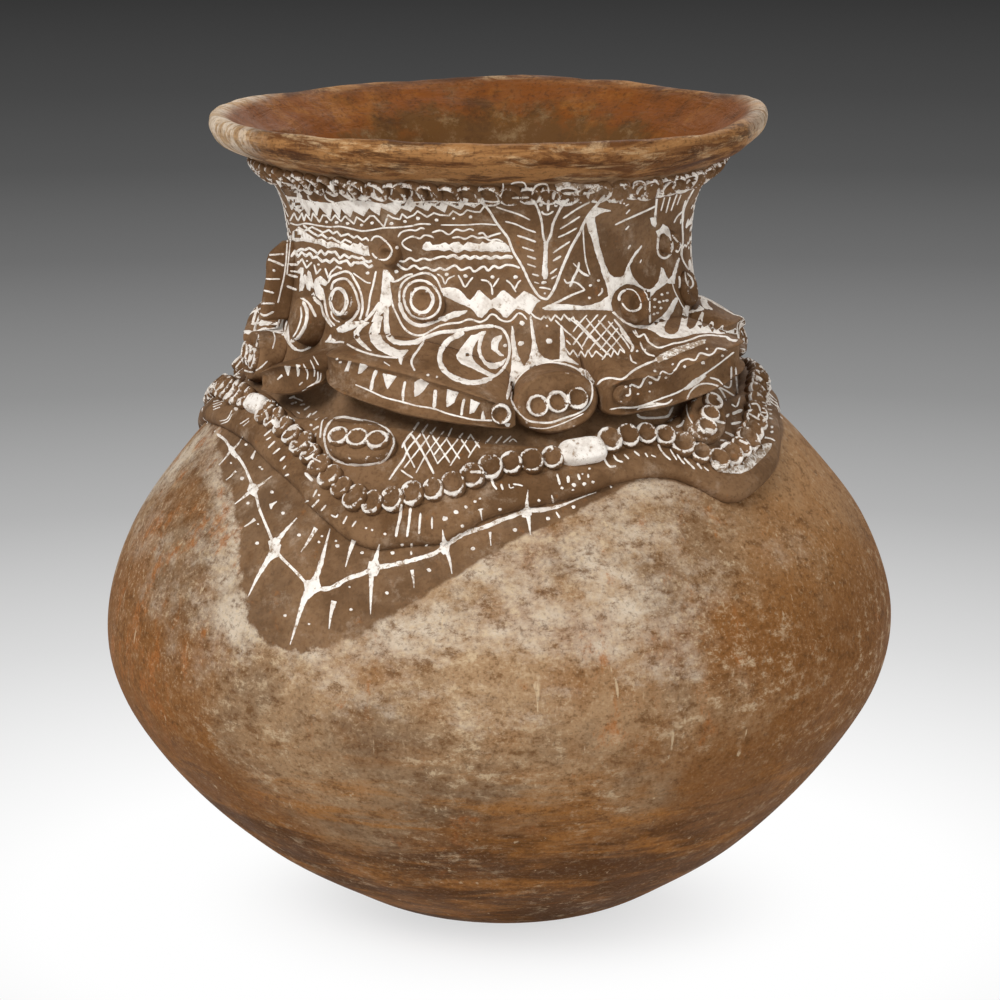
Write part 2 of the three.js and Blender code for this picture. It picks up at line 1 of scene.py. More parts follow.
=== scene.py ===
import json
import math
import random
import bpy
import numpy as np
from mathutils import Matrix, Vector, noise
from mathutils.bvhtree import BVHTree
from mathutils.geometry import delaunay_2d_cdt
from mathutils.kdtree import KDTree

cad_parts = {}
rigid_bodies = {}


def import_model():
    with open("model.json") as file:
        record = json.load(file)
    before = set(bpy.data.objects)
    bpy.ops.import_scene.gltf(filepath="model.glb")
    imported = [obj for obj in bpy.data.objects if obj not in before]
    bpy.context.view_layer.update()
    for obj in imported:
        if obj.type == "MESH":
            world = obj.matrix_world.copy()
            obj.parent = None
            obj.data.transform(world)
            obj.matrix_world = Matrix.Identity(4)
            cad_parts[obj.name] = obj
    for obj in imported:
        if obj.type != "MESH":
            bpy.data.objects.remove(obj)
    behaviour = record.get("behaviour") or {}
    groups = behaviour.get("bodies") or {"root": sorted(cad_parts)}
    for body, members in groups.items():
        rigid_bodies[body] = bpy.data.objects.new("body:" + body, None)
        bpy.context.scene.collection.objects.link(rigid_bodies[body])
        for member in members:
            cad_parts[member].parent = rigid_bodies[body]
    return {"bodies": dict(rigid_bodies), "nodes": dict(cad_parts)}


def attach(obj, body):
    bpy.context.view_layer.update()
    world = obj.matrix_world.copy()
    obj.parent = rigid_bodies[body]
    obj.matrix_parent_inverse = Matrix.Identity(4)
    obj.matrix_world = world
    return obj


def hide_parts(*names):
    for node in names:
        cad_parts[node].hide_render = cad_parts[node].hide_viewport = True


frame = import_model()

framed = set(frame["nodes"].values()) | set(frame["bodies"].values())
for spare in [o for o in bpy.data.objects if o not in framed]:
    bpy.data.objects.remove(spare)
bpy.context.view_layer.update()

# all lengths in metres, turns in degrees from the front (+ to the viewer's right)
vessel = dict(
    footRadius=0.050, bellyRadius=0.241, neckRadius=0.122, rimRadius=0.169,
    bellyHeight=0.188, shoulderRise=0.227, rimRise=0.080, wall=0.011, lip=0.013,
    lean=0.0215, settle=0.080, oval=0.005, ovalTurn=1.2, wave=0.0016, waveTurn=0.5,
    dips=[(0, 70, 0.0018), (-138, 30, -0.003), (131, 17, -0.0034),  # of the rim: turn, width, height
          (180, 55, -0.0032), (97, 15, 0.003), (78, 16, 0.004)],
    turns=288, rowStep=0.0034, footFade=0.03, lipFrom=0.02, lipOver=0.04,
    lumps=[(9, 0.0009, 1), (24, 0.0004, 2)], lipLumps=[(26, 0.0016, 5), (60, 0.00056, 6)],
)
neckHeight = vessel["bellyHeight"] + vessel["shoulderRise"]
rimHeight = neckHeight + vessel["rimRise"]
# shares of the way out and of the way up
bowlShape = [(0, 0), (0.16, 0.043), (0.305, 0.117), (0.54, 0.266), (0.785, 0.505), (0.957, 0.76), (1, 1)]
shoulderShape = [(0.865, 0.23), (0.571, 0.44), (0.27, 0.604), (0.095, 0.75), (0.018, 0.89), (0, 1)]
throatShape = [(0.045, 0.27), (0.14, 0.425), (0.3, 0.585), (0.5, 0.69)]
lipShape = [(0, 0), (0.44, 0.18), (0.8, 0.4), (0.98, 0.66), (1, 0.83), (0.93, 0.96), (0.78, 1)]
courses = dict(bowl=3, lower=5, upper=7, shoulder=10, collar=16)  # the knot where each course of coils ends


def mix(start, end, share):
    return start + (end - start) * share


def smooth(value):
    share = np.clip(value, 0, 1)
    return share * share * (3 - 2 * share)


def bend(start, end, leaving, arriving, t):
    return ((2 * start - 2 * end + leaving + arriving) * t ** 3
            + (3 * end - 3 * start - 2 * leaving - arriving) * t ** 2 + leaving * t + start)


def runAlong(points):
    return np.concatenate([[0], np.cumsum(np.linalg.norm(np.diff(points, axis=0), axis=1))])


def around(turn, radius, height):
    turn, radius, height = np.broadcast_arrays(np.radians(turn), radius, height)
    return np.stack([radius * np.sin(turn), -radius * np.cos(turn), height], -1)


def bell(turn, centre, width):
    return np.exp(-((((np.asarray(turn) - centre + 540) % 360 - 180) / width) ** 2))


def handFormed(points):
    # the pot leans, is a little oval and has an uneven rim
    x, y, z = points[..., 0], points[..., 1], points[..., 2]
    rise = smooth(z / vessel["settle"])
    turn = np.arctan2(x, -y)
    swell = 1 + vessel["oval"] * np.cos(2 * turn - vessel["ovalTurn"]) * rise
    dips = sum(dip * bell(np.degrees(turn), centre, width) for centre, width, dip in vessel["dips"])
    wave = vessel["wave"] * np.cos(2 * turn + vessel["waveTurn"]) + dips
    wave = wave * smooth((z - neckHeight) / vessel["rimRise"])
    tip = rise * (1 - smooth((z - vessel["bellyHeight"]) / vessel["shoulderRise"]))
    lean = vessel["lean"]
    return np.stack([x * swell - z * lean, y * swell, z + x * swell * lean * tip + wave], -1)


def unformed(points):
    plain = points.copy()
    for _ in range(5):
        plain = plain + points - handFormed(plain)
    return plain


def turnAndHeight(points):
    plain = unformed(np.asarray(points, float))
    return np.degrees(np.arctan2(plain[..., 0], -plain[..., 1])), plain[..., 2]


# outer line of the wall, from the foot to the root of the lip
knots = np.array(
    [(mix(vessel["footRadius"], vessel["bellyRadius"], o), vessel["bellyHeight"] * u) for o, u in bowlShape]
    + [(mix(vessel["neckRadius"], vessel["bellyRadius"], o), mix(vessel["bellyHeight"], neckHeight, u))
       for o, u in shoulderShape]
    + [(mix(vessel["neckRadius"], vessel["rimRadius"], o), mix(neckHeight, rimHeight, u)) for o, u in throatShape])


def alongKnots(places):
    last = len(knots) - 1
    i = np.clip(np.floor(places).astype(int), 0, last - 1)
    a, b = knots[np.maximum(i - 1, 0)], knots[i]
    c, d = knots[np.minimum(i + 1, last)], knots[np.minimum(i + 2, last)]
    return bend(b, c, (c - a) / 2, (d - b) / 2, (places - i)[:, None])


linePlace = np.linspace(0, courses["collar"], 961)
lineR, lineZ = alongKnots(linePlace).T
lineAlong = np.concatenate([[0], np.cumsum(np.hypot(np.diff(lineR), np.diff(lineZ)))])
runR, runZ = np.gradient(lineR, lineAlong), np.gradient(lineZ, lineAlong)
outR, outZ = runZ / np.hypot(runR, runZ), -runR / np.hypot(runR, runZ)


def wallRadius(height):
    return np.interp(height, lineZ, lineR)


def wallAlong(height):
    return np.interp(height, lineZ, lineAlong)


def heightOf(level):
    return vessel["bellyHeight"] + vessel["shoulderRise"] * level


def onWall(turn, along, lift):
    radius = np.interp(along, lineAlong, lineR) + np.interp(along, lineAlong, outR) * lift
    height = np.interp(along, lineAlong, lineZ) + np.interp(along, lineAlong, outZ) * lift
    return around(turn, radius, height)


def smoothRows(rows, parts, closed):
    # an even curve through the rows, with parts steps from one row to the next
    rows = np.asarray(rows, float)
    count = len(rows)
    spread = rows if closed else np.concatenate([[2 * rows[0] - rows[1]], rows, [2 * rows[-1] - rows[-2]]])
    at = np.arange(count if closed else count - 1)

    def pick(k):
        return spread[k % count] if closed else spread[k + 1]

    a, b, c, d = pick(at - 1), pick(at), pick(at + 1), pick(at + 2)

    def gap(p, q):
        far = np.sqrt(((q - p) ** 2).sum(-1)).reshape(len(at), -1).mean(1)
        return np.sqrt(np.maximum(far, 1e-7)).reshape((-1,) + (1,) * (rows.ndim - 1))

    ab, bc, cd = gap(a, b), gap(b, c), gap(c, d)
    leaving = ((b - a) / ab - (c - a) / (ab + bc) + (c - b) / bc) * bc
    arriving = ((c - b) / bc - (d - b) / (bc + cd) + (d - c) / cd) * bc
    steps = [bend(b, c, leaving, arriving, k / parts) for k in range(parts)]
    fine = np.stack(steps, 1).reshape((-1,) + rows.shape[1:])
    return fine if closed else np.concatenate([fine, rows[-1:]])


def unevenness(points, sizes):
    # sizes: (bumps in a metre, height, seed)
    total = np.zeros(len(points))
    for pitch, height, seed in sizes:
        shift = Vector((seed * 1.7, seed * 2.3, seed * 0.9))
        total += height * np.array([noise.noise(Vector(p) * pitch + shift) for p in points])
    return total


def setValues(mesh, values):
    for key, amounts in values.items():
        mesh.attributes.new(key, "FLOAT", "POINT").data.foreach_set("value", np.asarray(amounts, np.float32))


def meshOf(name, points, faces):
    mesh = bpy.data.meshes.new(name)
    mesh.from_pydata(np.asarray(points).tolist(), [], faces)
    mesh.shade_smooth()
    return mesh


def inScene(name, data):
    thing = bpy.data.objects.new(name, data)
    bpy.context.scene.collection.objects.link(thing)
    return thing


skins = []  # every clay surface, for the paint to lie on


def addPiece(name, points, faces, look, nodes, slotName, values=None, sharpRows=None, rowSize=0, uneven=None, skin=True):
    mesh = meshOf(name, points, faces)
    if uneven:
        normals = np.zeros(len(points) * 3)
        mesh.vertices.foreach_get("normal", normals)
        points = points + normals.reshape(-1, 3) * unevenness(points, uneven)[:, None]
        mesh.vertices.foreach_set("co", points.ravel())
    if sharpRows:
        pairs = np.zeros(len(mesh.edges) * 2, int)
        mesh.edges.foreach_get("vertices", pairs)
        rows = pairs.reshape(-1, 2) // rowSize
        sharp = (rows[:, 0] == rows[:, 1]) & np.isin(rows[:, 0], sharpRows)
        mesh.attributes.new("sharp_edge", "BOOLEAN", "EDGE").data.foreach_set("value", sharp)
    setValues(mesh, values or {})
    mesh.update()
    piece = inScene(name, mesh)
    mesh.materials.append(look)
    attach(piece, "root")
    if nodes:
        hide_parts(*nodes)
    if skin:
        skins.append((np.asarray(points), faces))


def outwards(points, faces):
    volume = 0
    for face in faces:
        for k in range(1, len(face) - 1):
            a, b, c = points[face[0]], points[face[k]], points[face[k + 1]]
            volume += np.dot(a, np.cross(b, c))
    return faces if volume > 0 else [tuple(reversed(face)) for face in faces]


def loopFaces(rows, count, closed, tips):
    faces = []
    for row in range(rows if closed else rows - 1):
        here, there = row * count, ((row + 1) % rows) * count
        for i in range(count):
            j = (i + 1) % count
            faces.append((here + i, here + j, there + j, there + i))
    if tips:
        first, last, end = rows * count, rows * count + 1, (rows - 1) * count
        for i in range(count):
            j = (i + 1) % count
            faces.append((first, j, i))
            faces.append((last, end + i, end + j))
    return faces


def loft(loops, along, across, closed=False, tips=None):
    # a skin over matching loops, closed on a point at each end or on itself
    fine = smoothRows(np.asarray(loops, float), along, closed)
    fine = smoothRows(fine.swapaxes(0, 1), across, True).swapaxes(0, 1)
    rows, count = fine.shape[:2]
    points = fine.reshape(-1, 3)
    if tips is not None:
        points = np.concatenate([points, np.asarray(tips, float).reshape(2, 3)])
    points = handFormed(points)
    return points, outwards(points, loopFaces(rows, count, closed, tips is not None))


def endTips(loops):
    return [np.mean(loops[0], 0), np.mean(loops[-1], 0)]


def joined(parts):
    points, faces, start = [], [], 0
    for partPoints, partFaces in parts:
        points.append(partPoints)
        faces += [tuple(i + start for i in face) for face in partFaces]
        start += len(partPoints)
    return np.concatenate(points), faces


def tint(red, green, blue):
    # a screen colour as the shader takes it
    return tuple((c / 255 / 12.92) if c / 255 <= 0.04045 else ((c / 255 + 0.055) / 1.055) ** 2.4
                 for c in (red, green, blue)) + (1.0,)


def tints(**colours):
    return {name: tint(*colour) for name, colour in colours.items()}


def socketOf(sockets, key):
    usable = [s for s in sockets if s.enabled]
    return next((s for s in usable if s.identifier == key), None) or next(s for s in usable if s.name == key)


def feed(tree, socket, value):
    if isinstance(value, bpy.types.NodeSocket):
        tree.links.new(value, socket)
    else:
        socket.default_value = value


def addNode(tree, kind, inputs, settings):
    made = tree.nodes.new(kind)
    for key, value in settings.items():
        setattr(made, key, value)
    for key, value in inputs.items():
        feed(tree, made.inputs[key] if isinstance(key, int) else socketOf(made.inputs, key), value)
    return made


class Finish:
    def __init__(self, name):
        self.look = bpy.data.materials.new(name)
        self.look.use_nodes = True
        self.tree = self.look.node_tree
        self.shader = self.tree.nodes["Principled BSDF"]
        self.place = self.node("ShaderNodeTexCoord").outputs["Object"]

    def node(self, kind, inputs=None, **settings):
        return addNode(self.tree, kind, inputs or {}, settings)

    def spread(self, scale=(1, 1, 1), turn=(0, 0, 0), shift=(0, 0, 0)):
        inputs = {"Vector": self.place, "Scale": scale, "Rotation": turn, "Location": shift}
        return self.node("ShaderNodeMapping", inputs).outputs["Vector"]

    def cloud(self, pitch, detail=4.0, rough=0.6, twist=0.0, **spread):
        inputs = {"Vector": self.spread(**spread) if spread else self.place, "Scale": pitch, "Detail": detail,
                  "Roughness": rough, "Distortion": twist}
        return self.node("ShaderNodeTexNoise", inputs).outputs["Fac"]

    def between(self, value, low, high, start=0.0, end=1.0):
        inputs = {"Value": value, "From Min": low, "From Max": high, "To Min": start, "To Max": end}
        return self.node("ShaderNodeMapRange", inputs, interpolation_type="SMOOTHSTEP").outputs["Result"]

    def wander(self, least, most, *cloud, **spread):
        return self.between(self.cloud(*cloud, **spread), 0.3, 0.7, least, most)

    def maths(self, kind, *amounts):
        total = amounts[0]
        for more in amounts[1:]:
            total = self.node("ShaderNodeMath", {0: total, 1: more}, operation=kind).outputs[0]
        return total

    def plus(self, *amounts):
        return self.maths("ADD", *amounts)

    def times(self, *amounts):
        return self.maths("MULTIPLY", *amounts)

    def blend(self, share, under, over):
        made = self.node("ShaderNodeMix", {"Factor_Float": share, "A_Color": under, "B_Color": over}, data_type="RGBA")
        return socketOf(made.outputs, "Result_Color")

    def clouded(self, under, over, cloud, low, high, most=1.0, **spread):
        # one colour laid over another where the cloud is strong
        return self.blend(self.between(self.cloud(*cloud, **spread), low, high, 0, most), under, over)

    def amount(self, key):
        return self.node("ShaderNodeAttribute", attribute_name=key).outputs["Fac"]

    def axis(self, name):
        return self.node("ShaderNodeSeparateXYZ", {"Vector": self.place}).outputs[name]

    def bump(self, height, strength, distance, under=None):
        inputs = {"Height": height, "Strength": strength, "Distance": distance}
        if under is not None:
            inputs["Normal"] = under
        return self.node("ShaderNodeBump", inputs).outputs["Normal"]

    def finish(self, colour, rough, normal):
        for key, value in (("Base Color", colour), ("Roughness", rough), ("Normal", normal), ("Specular IOR Level", 0.2)):
            feed(self.tree, self.shader.inputs[key], value)
        return self.look


# clouds: (bumps in a metre, detail, roughness, twist), then where they start to show, are full, and the most they cover
level = (1, 1, 6)  # draws a cloud out into level streaks
slipTints = tints(middle=(130, 98, 68), dark=(101, 72, 45), pale=(164, 141, 118), rust=(150, 95, 48), grain=(78, 53, 31))
limeTints = tints(full=(249, 242, 233), thin=(188, 166, 145), grey=(224, 214, 203))
clayTints = tints(buff=(164, 131, 96), smoke=(124, 97, 71), ash=(209, 193, 172), ochre=(178, 128, 76), warm=(131, 83, 35),
                  rust=(160, 97, 44), soot=(84, 48, 8), ember=(166, 108, 46), dark=(100, 63, 25), fleck=(206, 182, 148),
                  pit=(70, 43, 20), inside=(100, 66, 30), mouth=(126, 70, 22), dust=(142, 113, 78), shade=(66, 41, 17))
lipTints = tints(dark=(104, 63, 28), buff=(160, 113, 66), pale=(206, 173, 130), brown=(74, 42, 16), chalk=(228, 212, 192),
                 pit=(66, 40, 19))


def slipColour(mat):
    base = mat.clouded(slipTints["dark"], slipTints["middle"], (24, 7, 0.68), 0.38, 0.6)
    base = mat.clouded(base, slipTints["pale"], (52, 8, 0.76), 0.52, 0.7, 0.75, shift=(1, 4, 2))
    base = mat.clouded(base, slipTints["rust"], (80, 6, 0.72), 0.6, 0.72, 0.6, shift=(3, 1, 2))
    return mat.clouded(base, slipTints["grain"], (420, 3), 0.48, 0.68, 0.4)


def limeColour(mat):
    base = mat.clouded(limeTints["grey"], limeTints["full"], (120, 4, 0.7), 0.38, 0.58)
    return mat.clouded(base, limeTints["thin"], (330, 3, 0.7), 0.58, 0.72, 0.75)


def clayGrain(mat, fine, coarse):
    rough = mat.bump(mat.cloud(70, 6, 0.65), coarse, 0.0016)
    return mat.bump(mat.cloud(480, 3, 0.6), fine, 0.0006, rough)


def mouthColour(mat):
    # rust under the lip, darker further down as painted shade inside the mouth, with dusty patches and clouds of
    # painted shade
    side = mat.maths("ABSOLUTE", mat.axis("X"), 0)
    wander = mat.wander(-0.012, 0.012, 34, 7, 0.7, shift=(7, 2, 4))
    reach = mat.plus(mat.axis("Z"), mat.between(side, 0.075, 0.135, 0, 0.03), wander)
    inside = mat.blend(mat.between(reach, 0.466, 0.484), clayTints["inside"], clayTints["mouth"])
    inside = mat.clouded(inside, clayTints["ember"], (26, 7, 0.7), 0.5, 0.68, 0.5)
    dusty = mat.between(mat.cloud(48, 9, 0.78, shift=(2, 3, 1)), 0.5, 0.66, 0, 0.8)
    inside = mat.blend(mat.times(dusty, mat.between(reach, 0.486, 0.464, 0.15, 1)), inside, clayTints["dust"])
    return mat.clouded(inside, clayTints["shade"], (30, 8, 0.74), 0.5, 0.68, 0.6, shift=(4, 7, 2))


def bareClay():
    mat = Finish("bare_earthenware")
    height, side = mat.axis("Z"), mat.axis("X")

    def cloudAt(shift, pitch, detail, rough, scale=(1, 1, 1), twist=0.0):
        return mat.cloud(pitch, detail, rough, twist, scale=scale, shift=(shift, shift * 1.7, shift * 0.6))

    def laid(under, over, share):
        return mat.blend(share, under, clayTints[over])

    right, left = mat.between(side, 0.05, 0.22), mat.between(side, -0.1, -0.23)
    low = mat.between(height, 0.17, 0.07)
    clay = laid(clayTints["smoke"], "buff", mat.between(cloudAt(0, 7, 9, 0.68, twist=0.4), 0.4, 0.6))
    # chalky ash in clouds; that it lies more on the upper front of the belly and less on the right is painted light and
    # shade
    chalk = mat.plus(cloudAt(2, 12, 10, 0.76, (1, 1, 1.6)), mat.times(right, -0.16), mat.times(left, -0.02),
                     mat.between(height, 0.13, 0.23, -0.14, 0.09))
    clay = laid(clay, "ash", mat.between(chalk, 0.48, 0.68, 0, 0.9))
    # warmer and browner in clouds, and darker on the flanks and low down as painted shade
    warmthAndShade = mat.plus(cloudAt(4, 9, 8, 0.66), mat.times(right, 0.34, mat.between(height, 0.29, 0.2, 0.1, 1)),
                      mat.times(left, 0.26, mat.between(height, 0.28, 0.16)), mat.times(low, 0.2))
    clay = laid(clay, "warm", mat.between(warmthAndShade, 0.5, 0.72, 0, 0.92))
    rusty = mat.plus(cloudAt(6, 46, 7, 0.76, (1, 1, 0.6)), mat.times(left, 0.09), mat.times(low, 0.05),
                     mat.between(cloudAt(8, 8, 3, 0.5), 0.3, 0.7, -0.07, 0.07))
    clay = laid(clay, "rust", mat.between(rusty, 0.6, 0.72, 0, 0.75))
    # painted light and shade: lighter ochre high on the right where light falls from above, warm and dark low on the
    # left and right flanks as painted shade
    for over, where, start, full, most in (("ochre", right, 0.2, 0.28, 0.6), ("warm", left, 0.17, 0.1, 0.85),
                                           ("dark", right, 0.19, 0.1, 0.62)):
        clay = laid(clay, over, mat.times(where, mat.between(height, start, full, 0, most)))
    # smoke and handling darken the lower part in level streaks
    streaks = mat.plus(cloudAt(0, 8, 10, 0.74, level, 0.6), mat.between(height, 0.17, 0.05, -0.24, 0.1))
    clay = laid(clay, "soot", mat.between(streaks, 0.45, 0.6, 0, 0.94))
    glow = mat.between(cloudAt(3, 12, 9, 0.72, level, 0.4), 0.46, 0.66, 0, 0.85)
    clay = laid(clay, "ember", mat.times(glow, mat.between(height, 0.18, 0.1)))
    # mottling, scuffs and scratches
    mottle = cloudAt(5, 76, 10, 0.8, (1, 1, 1.7))
    clay = laid(clay, "dark", mat.between(mottle, 0.51, 0.63, 0, 0.75))
    rubbed = mat.plus(cloudAt(9, 10, 6, 0.65), mat.times(low, -0.03), mat.times(left, -0.1))
    rubbed = mat.times(mat.between(mottle, 0.49, 0.37, 0, 0.75), mat.between(rubbed, 0.42, 0.62, 0.1, 1))
    clay = laid(clay, "fleck", rubbed)
    # painted shade: darker low down on both flanks
    clay = laid(clay, "dark", mat.times(mat.plus(left, right), mat.between(height, 0.17, 0.1, 0, 0.42)))
    for turn in ((0.5, 0.75, 0.2), (-0.4, -0.9, 0.5)):
        line = mat.cloud(14, 3, 0.55, scale=(10, 10, 1), turn=turn)
        clay = laid(clay, "fleck", mat.between(line, 0.695, 0.74, 0, 0.65))
    grain = cloudAt(1, 400, 4, 0.7)
    clay = laid(clay, "pit", mat.between(grain, 0.52, 0.66, 0, 0.42))
    sparkle = mat.times(mat.between(grain, 0.46, 0.34, 0, 0.5), mat.between(chalk, 0.34, 0.6, 0.25, 1))
    clay = laid(clay, "fleck", sparkle)
    clay = mat.blend(mat.amount("inner"), clay, mouthColour(mat))
    # the slip's edge, crisp at the right and worn away at the left
    wear = mat.times(mat.between(cloudAt(3, 42, 7, 0.7), 0.3, 0.7, -1, 1),
                     mat.between(side, -0.04, -0.12, 0.0012, 0.0045))
    covered = mat.between(mat.plus(mat.amount("slip"), wear), mat.between(side, -0.04, -0.1, -0.001, -0.0014),
                          mat.between(side, -0.04, -0.1, 0.0014, 0.0024), 0, 0.95)
    colour = mat.blend(covered, clay, slipColour(mat))
    ridges = mat.bump(mat.cloud(12, 6, 0.62, scale=level), 0.3, 0.003, clayGrain(mat, 0.55, 0.5))
    return mat.finish(colour, mat.wander(0.72, 0.9, 30, 4), ridges)


def lipClay():
    mat = Finish("lip_ochre")
    clay = mat.clouded(lipTints["dark"], lipTints["buff"], (16, 8, 0.7, 0.8), 0.43, 0.58, scale=level)
    clay = mat.clouded(clay, lipTints["pale"], (24, 9, 0.76, 0.6), 0.5, 0.64, 0.72, scale=(1, 1, 5), shift=(3, 2, 1))
    clay = mat.clouded(clay, lipTints["brown"], (22, 8, 0.72), 0.51, 0.61, 0.85, scale=level, shift=(8, 1, 4))
    # paler and scored at the two sides of the mouth
    ends = mat.between(mat.maths("ABSOLUTE", mat.axis("X"), 0), 0.135, 0.165)
    clay = mat.blend(mat.times(ends, 0.54), clay, lipTints["pale"])
    scored = mat.between(mat.cloud(20, 5, 0.7, scale=(2, 9, 3), shift=(1, 1, 6)), 0.42, 0.56, 0, 0.7)
    clay = mat.blend(mat.times(scored, ends), clay, lipTints["chalk"])
    clay = mat.blend(mat.amount("inner"), clay, mouthColour(mat))
    clay = mat.clouded(clay, lipTints["pit"], (420, 3), 0.5, 0.68, 0.45)
    creases = mat.bump(mat.cloud(20, 6, 0.62, 0.9, scale=level), 0.6, 0.004, clayGrain(mat, 0.45, 0.5))
    return mat.finish(clay, mat.wander(0.68, 0.86, 40, 4), creases)


def limedSlip():
    # dark slip, with lime left on the rims that the lime amount marks
    mat = Finish("slip_with_lime")
    worn = mat.plus(mat.amount("lime"), mat.wander(-0.42, 0.42, 190, 5, 0.7))
    colour = mat.blend(mat.between(worn, 0.42, 0.6, 0, 0.95), slipColour(mat), limeColour(mat))
    return mat.finish(colour, mat.wander(0.74, 0.92, 50, 4), clayGrain(mat, 0.45, 0.45))


def limeCoat():
    # white where the cover amount is high, rubbed thin where it is low
    mat = Finish("lime_white")
    worn = mat.plus(mat.amount("cover"), mat.wander(-0.5, 0.5, 240, 6, 0.75))
    colour = mat.blend(mat.between(worn, 0.38, 0.62), slipTints["pale"], limeColour(mat))
    return mat.finish(colour, 0.92, clayGrain(mat, 0.4, 0.2))


bodyClay, ochre, slip, limeWhite = bareClay(), lipClay(), limedSlip(), limeCoat()
print("finishes made")

# the viewer's eye, fitted to the picture frame of 1000 x 1000
viewer = dict(aim=(-0.003, 0.0, 0.2535), pitch=12.5, distance=3.0, scale=4894.0, frame=1000, centre=500.0, sensor=36)
viewPitch = math.radians(viewer["pitch"])
viewAhead = np.array([0, math.cos(viewPitch), -math.sin(viewPitch)])
viewUp = np.array([0, math.sin(viewPitch), math.cos(viewPitch)])
viewFrom = np.array(viewer["aim"]) - viewAhead * viewer["distance"]


def sightLine(x, y):
    ray = viewAhead + np.array([1.0, 0, 0]) * (x - viewer["centre"]) / viewer["scale"]
    ray = ray - viewUp * (y - viewer["centre"]) / viewer["scale"]
    return ray / np.linalg.norm(ray)


# wall courses
turnRing = np.arange(vessel["turns"]) * 360 / vessel["turns"]
wallPieces = {}  # kept until the slip's edge is known


def ringed(section):
    return around(turnRing[None, :], section[:, :1], section[:, 1:2]).reshape(-1, 3)


def courseRows(low, high):
    start, end = np.interp([low, high], linePlace, lineAlong)
    steps = max(4, int(round((end - start) / vessel["rowStep"])))
    return np.interp(np.linspace(start, end, steps + 1), lineAlong, linePlace)


def wallSection(places, depth):
    spots, outs = (np.stack([np.interp(places, linePlace, line) for line in pair], 1)
                   for pair in ((lineR, lineZ), (outR, outZ)))
    return spots - outs * depth, outs


def lumpiness(points):
    # gentle lumps all over, stronger on the lip, none under the foot
    fade = smooth(points[:, 2] / vessel["footFade"])
    tall = smooth((points[:, 2] - neckHeight - vessel["lipFrom"]) / vessel["lipOver"])
    lumps, lip = unevenness(points, vessel["lumps"]), unevenness(points, vessel["lipLumps"])
    return fade * (lumps * (1 - tall) + (lumps + lip) * tall)


def keepWall(node, rows, outs, inner, sharp, look, slotName, poles=None):
    formed = handFormed(ringed(rows))
    formed = formed + ringed(outs) * lumpiness(formed)[:, None]
    inner = np.repeat(np.asarray(inner, float), vessel["turns"])
    if poles:
        formed = np.concatenate([formed, handFormed(np.array([[0, 0, height] for height in poles], float))])
        inner = np.concatenate([inner, [0, 1]])
    faces = outwards(formed, loopFaces(len(rows), vessel["turns"], not poles, bool(poles)))
    wallPieces[node] = dict(points=formed, faces=faces, inner=inner, sharp=sharp, look=look, slotName=slotName)


def addCourse(node, low, high, slotName):
    outer = courseRows(low, high)
    skip = 1 if node == "neck_collar" else 3  # fine inside only where the mouth shows it
    inner = np.concatenate([outer[:-1:skip], outer[-1:]])[::-1]
    outerRows, outerOut = wallSection(outer, 0)
    innerRows, innerOut = wallSection(inner, vessel["wall"])
    poles = None
    if node == "base_bowl":
        innerRows[:, 1] = np.maximum(innerRows[:, 1], vessel["wall"])
        poles = (0.0, vessel["wall"])
    n, m = len(outer), len(inner)
    keepWall(node, np.concatenate([outerRows, innerRows]), np.concatenate([outerOut, innerOut]), [0] * n + [1] * m,
             [n - 1, n] + ([0] if poles else [0, n + m - 1]), bodyClay, slotName, poles)


addCourse("base_bowl", 0, courses["bowl"], "sooty_clay")
addCourse("lower_belly_wall", courses["bowl"], courses["lower"], "bare_clay")
addCourse("upper_belly_wall", courses["lower"], courses["upper"], "bare_clay")
addCourse("shoulder_wall", courses["upper"], courses["shoulder"], "bare_clay")
addCourse("neck_collar", courses["shoulder"], courses["collar"], "dark_slip")

# thick lip turned out above the collar, its inner edge smeared down over the joint
rimLip = dict(parts=5, over=[(0.54, 0.2), (1.25, 0.7)], lapReach=[0.0, 0.006, 0.012], lapLift=[0.0006, 0.0003, -0.0001],
              tuck=0.0015, joins=(32, 12), inside=(31, 6))  # joins, inside: first row, rows to full
rootOuter, rootOut = wallSection(np.array([float(courses["collar"])]), 0)
lipRun, lipRise = vessel["rimRadius"] - rootOuter[0, 0], rimHeight - rootOuter[0, 1]
lipSection = [(rootOuter[0, 0] + lipRun * o, rootOuter[0, 1] + lipRise * u) for o, u in lipShape]
crest = lipSection[-1]
lipSection += [(crest[0] - vessel["lip"] * back, crest[1] - vessel["lip"] * down) for back, down in rimLip["over"]]
lapPlace = np.interp(lineAlong[-1] - np.array(rimLip["lapReach"]), lineAlong, linePlace)
lap = wallSection(lapPlace, vessel["wall"] + np.array(rimLip["lapLift"])[:, None])[0]
tuck = wallSection(lapPlace[1:2], vessel["wall"] - rimLip["tuck"])[0]
lipRows = np.concatenate([smoothRows(np.concatenate([lipSection, lap]), rimLip["parts"], False), tuck])
lipAhead = np.gradient(lipRows, axis=0)
lipOuts = np.stack([lipAhead[:, 1], -lipAhead[:, 0]], 1) / np.linalg.norm(lipAhead, axis=1)[:, None]


def lipShare(first, full):
    return smooth((np.arange(len(lipRows)) - first) / full)


lipOuts = mix(lipOuts, rootOut, lipShare(*rimLip["joins"])[:, None])
lipSharp = [0, len(lipRows) - 2, len(lipRows) - 1]
keepWall("rim_lip", lipRows, lipOuts, lipShare(*rimLip["inside"]), lipSharp, ochre, "lip_clay")

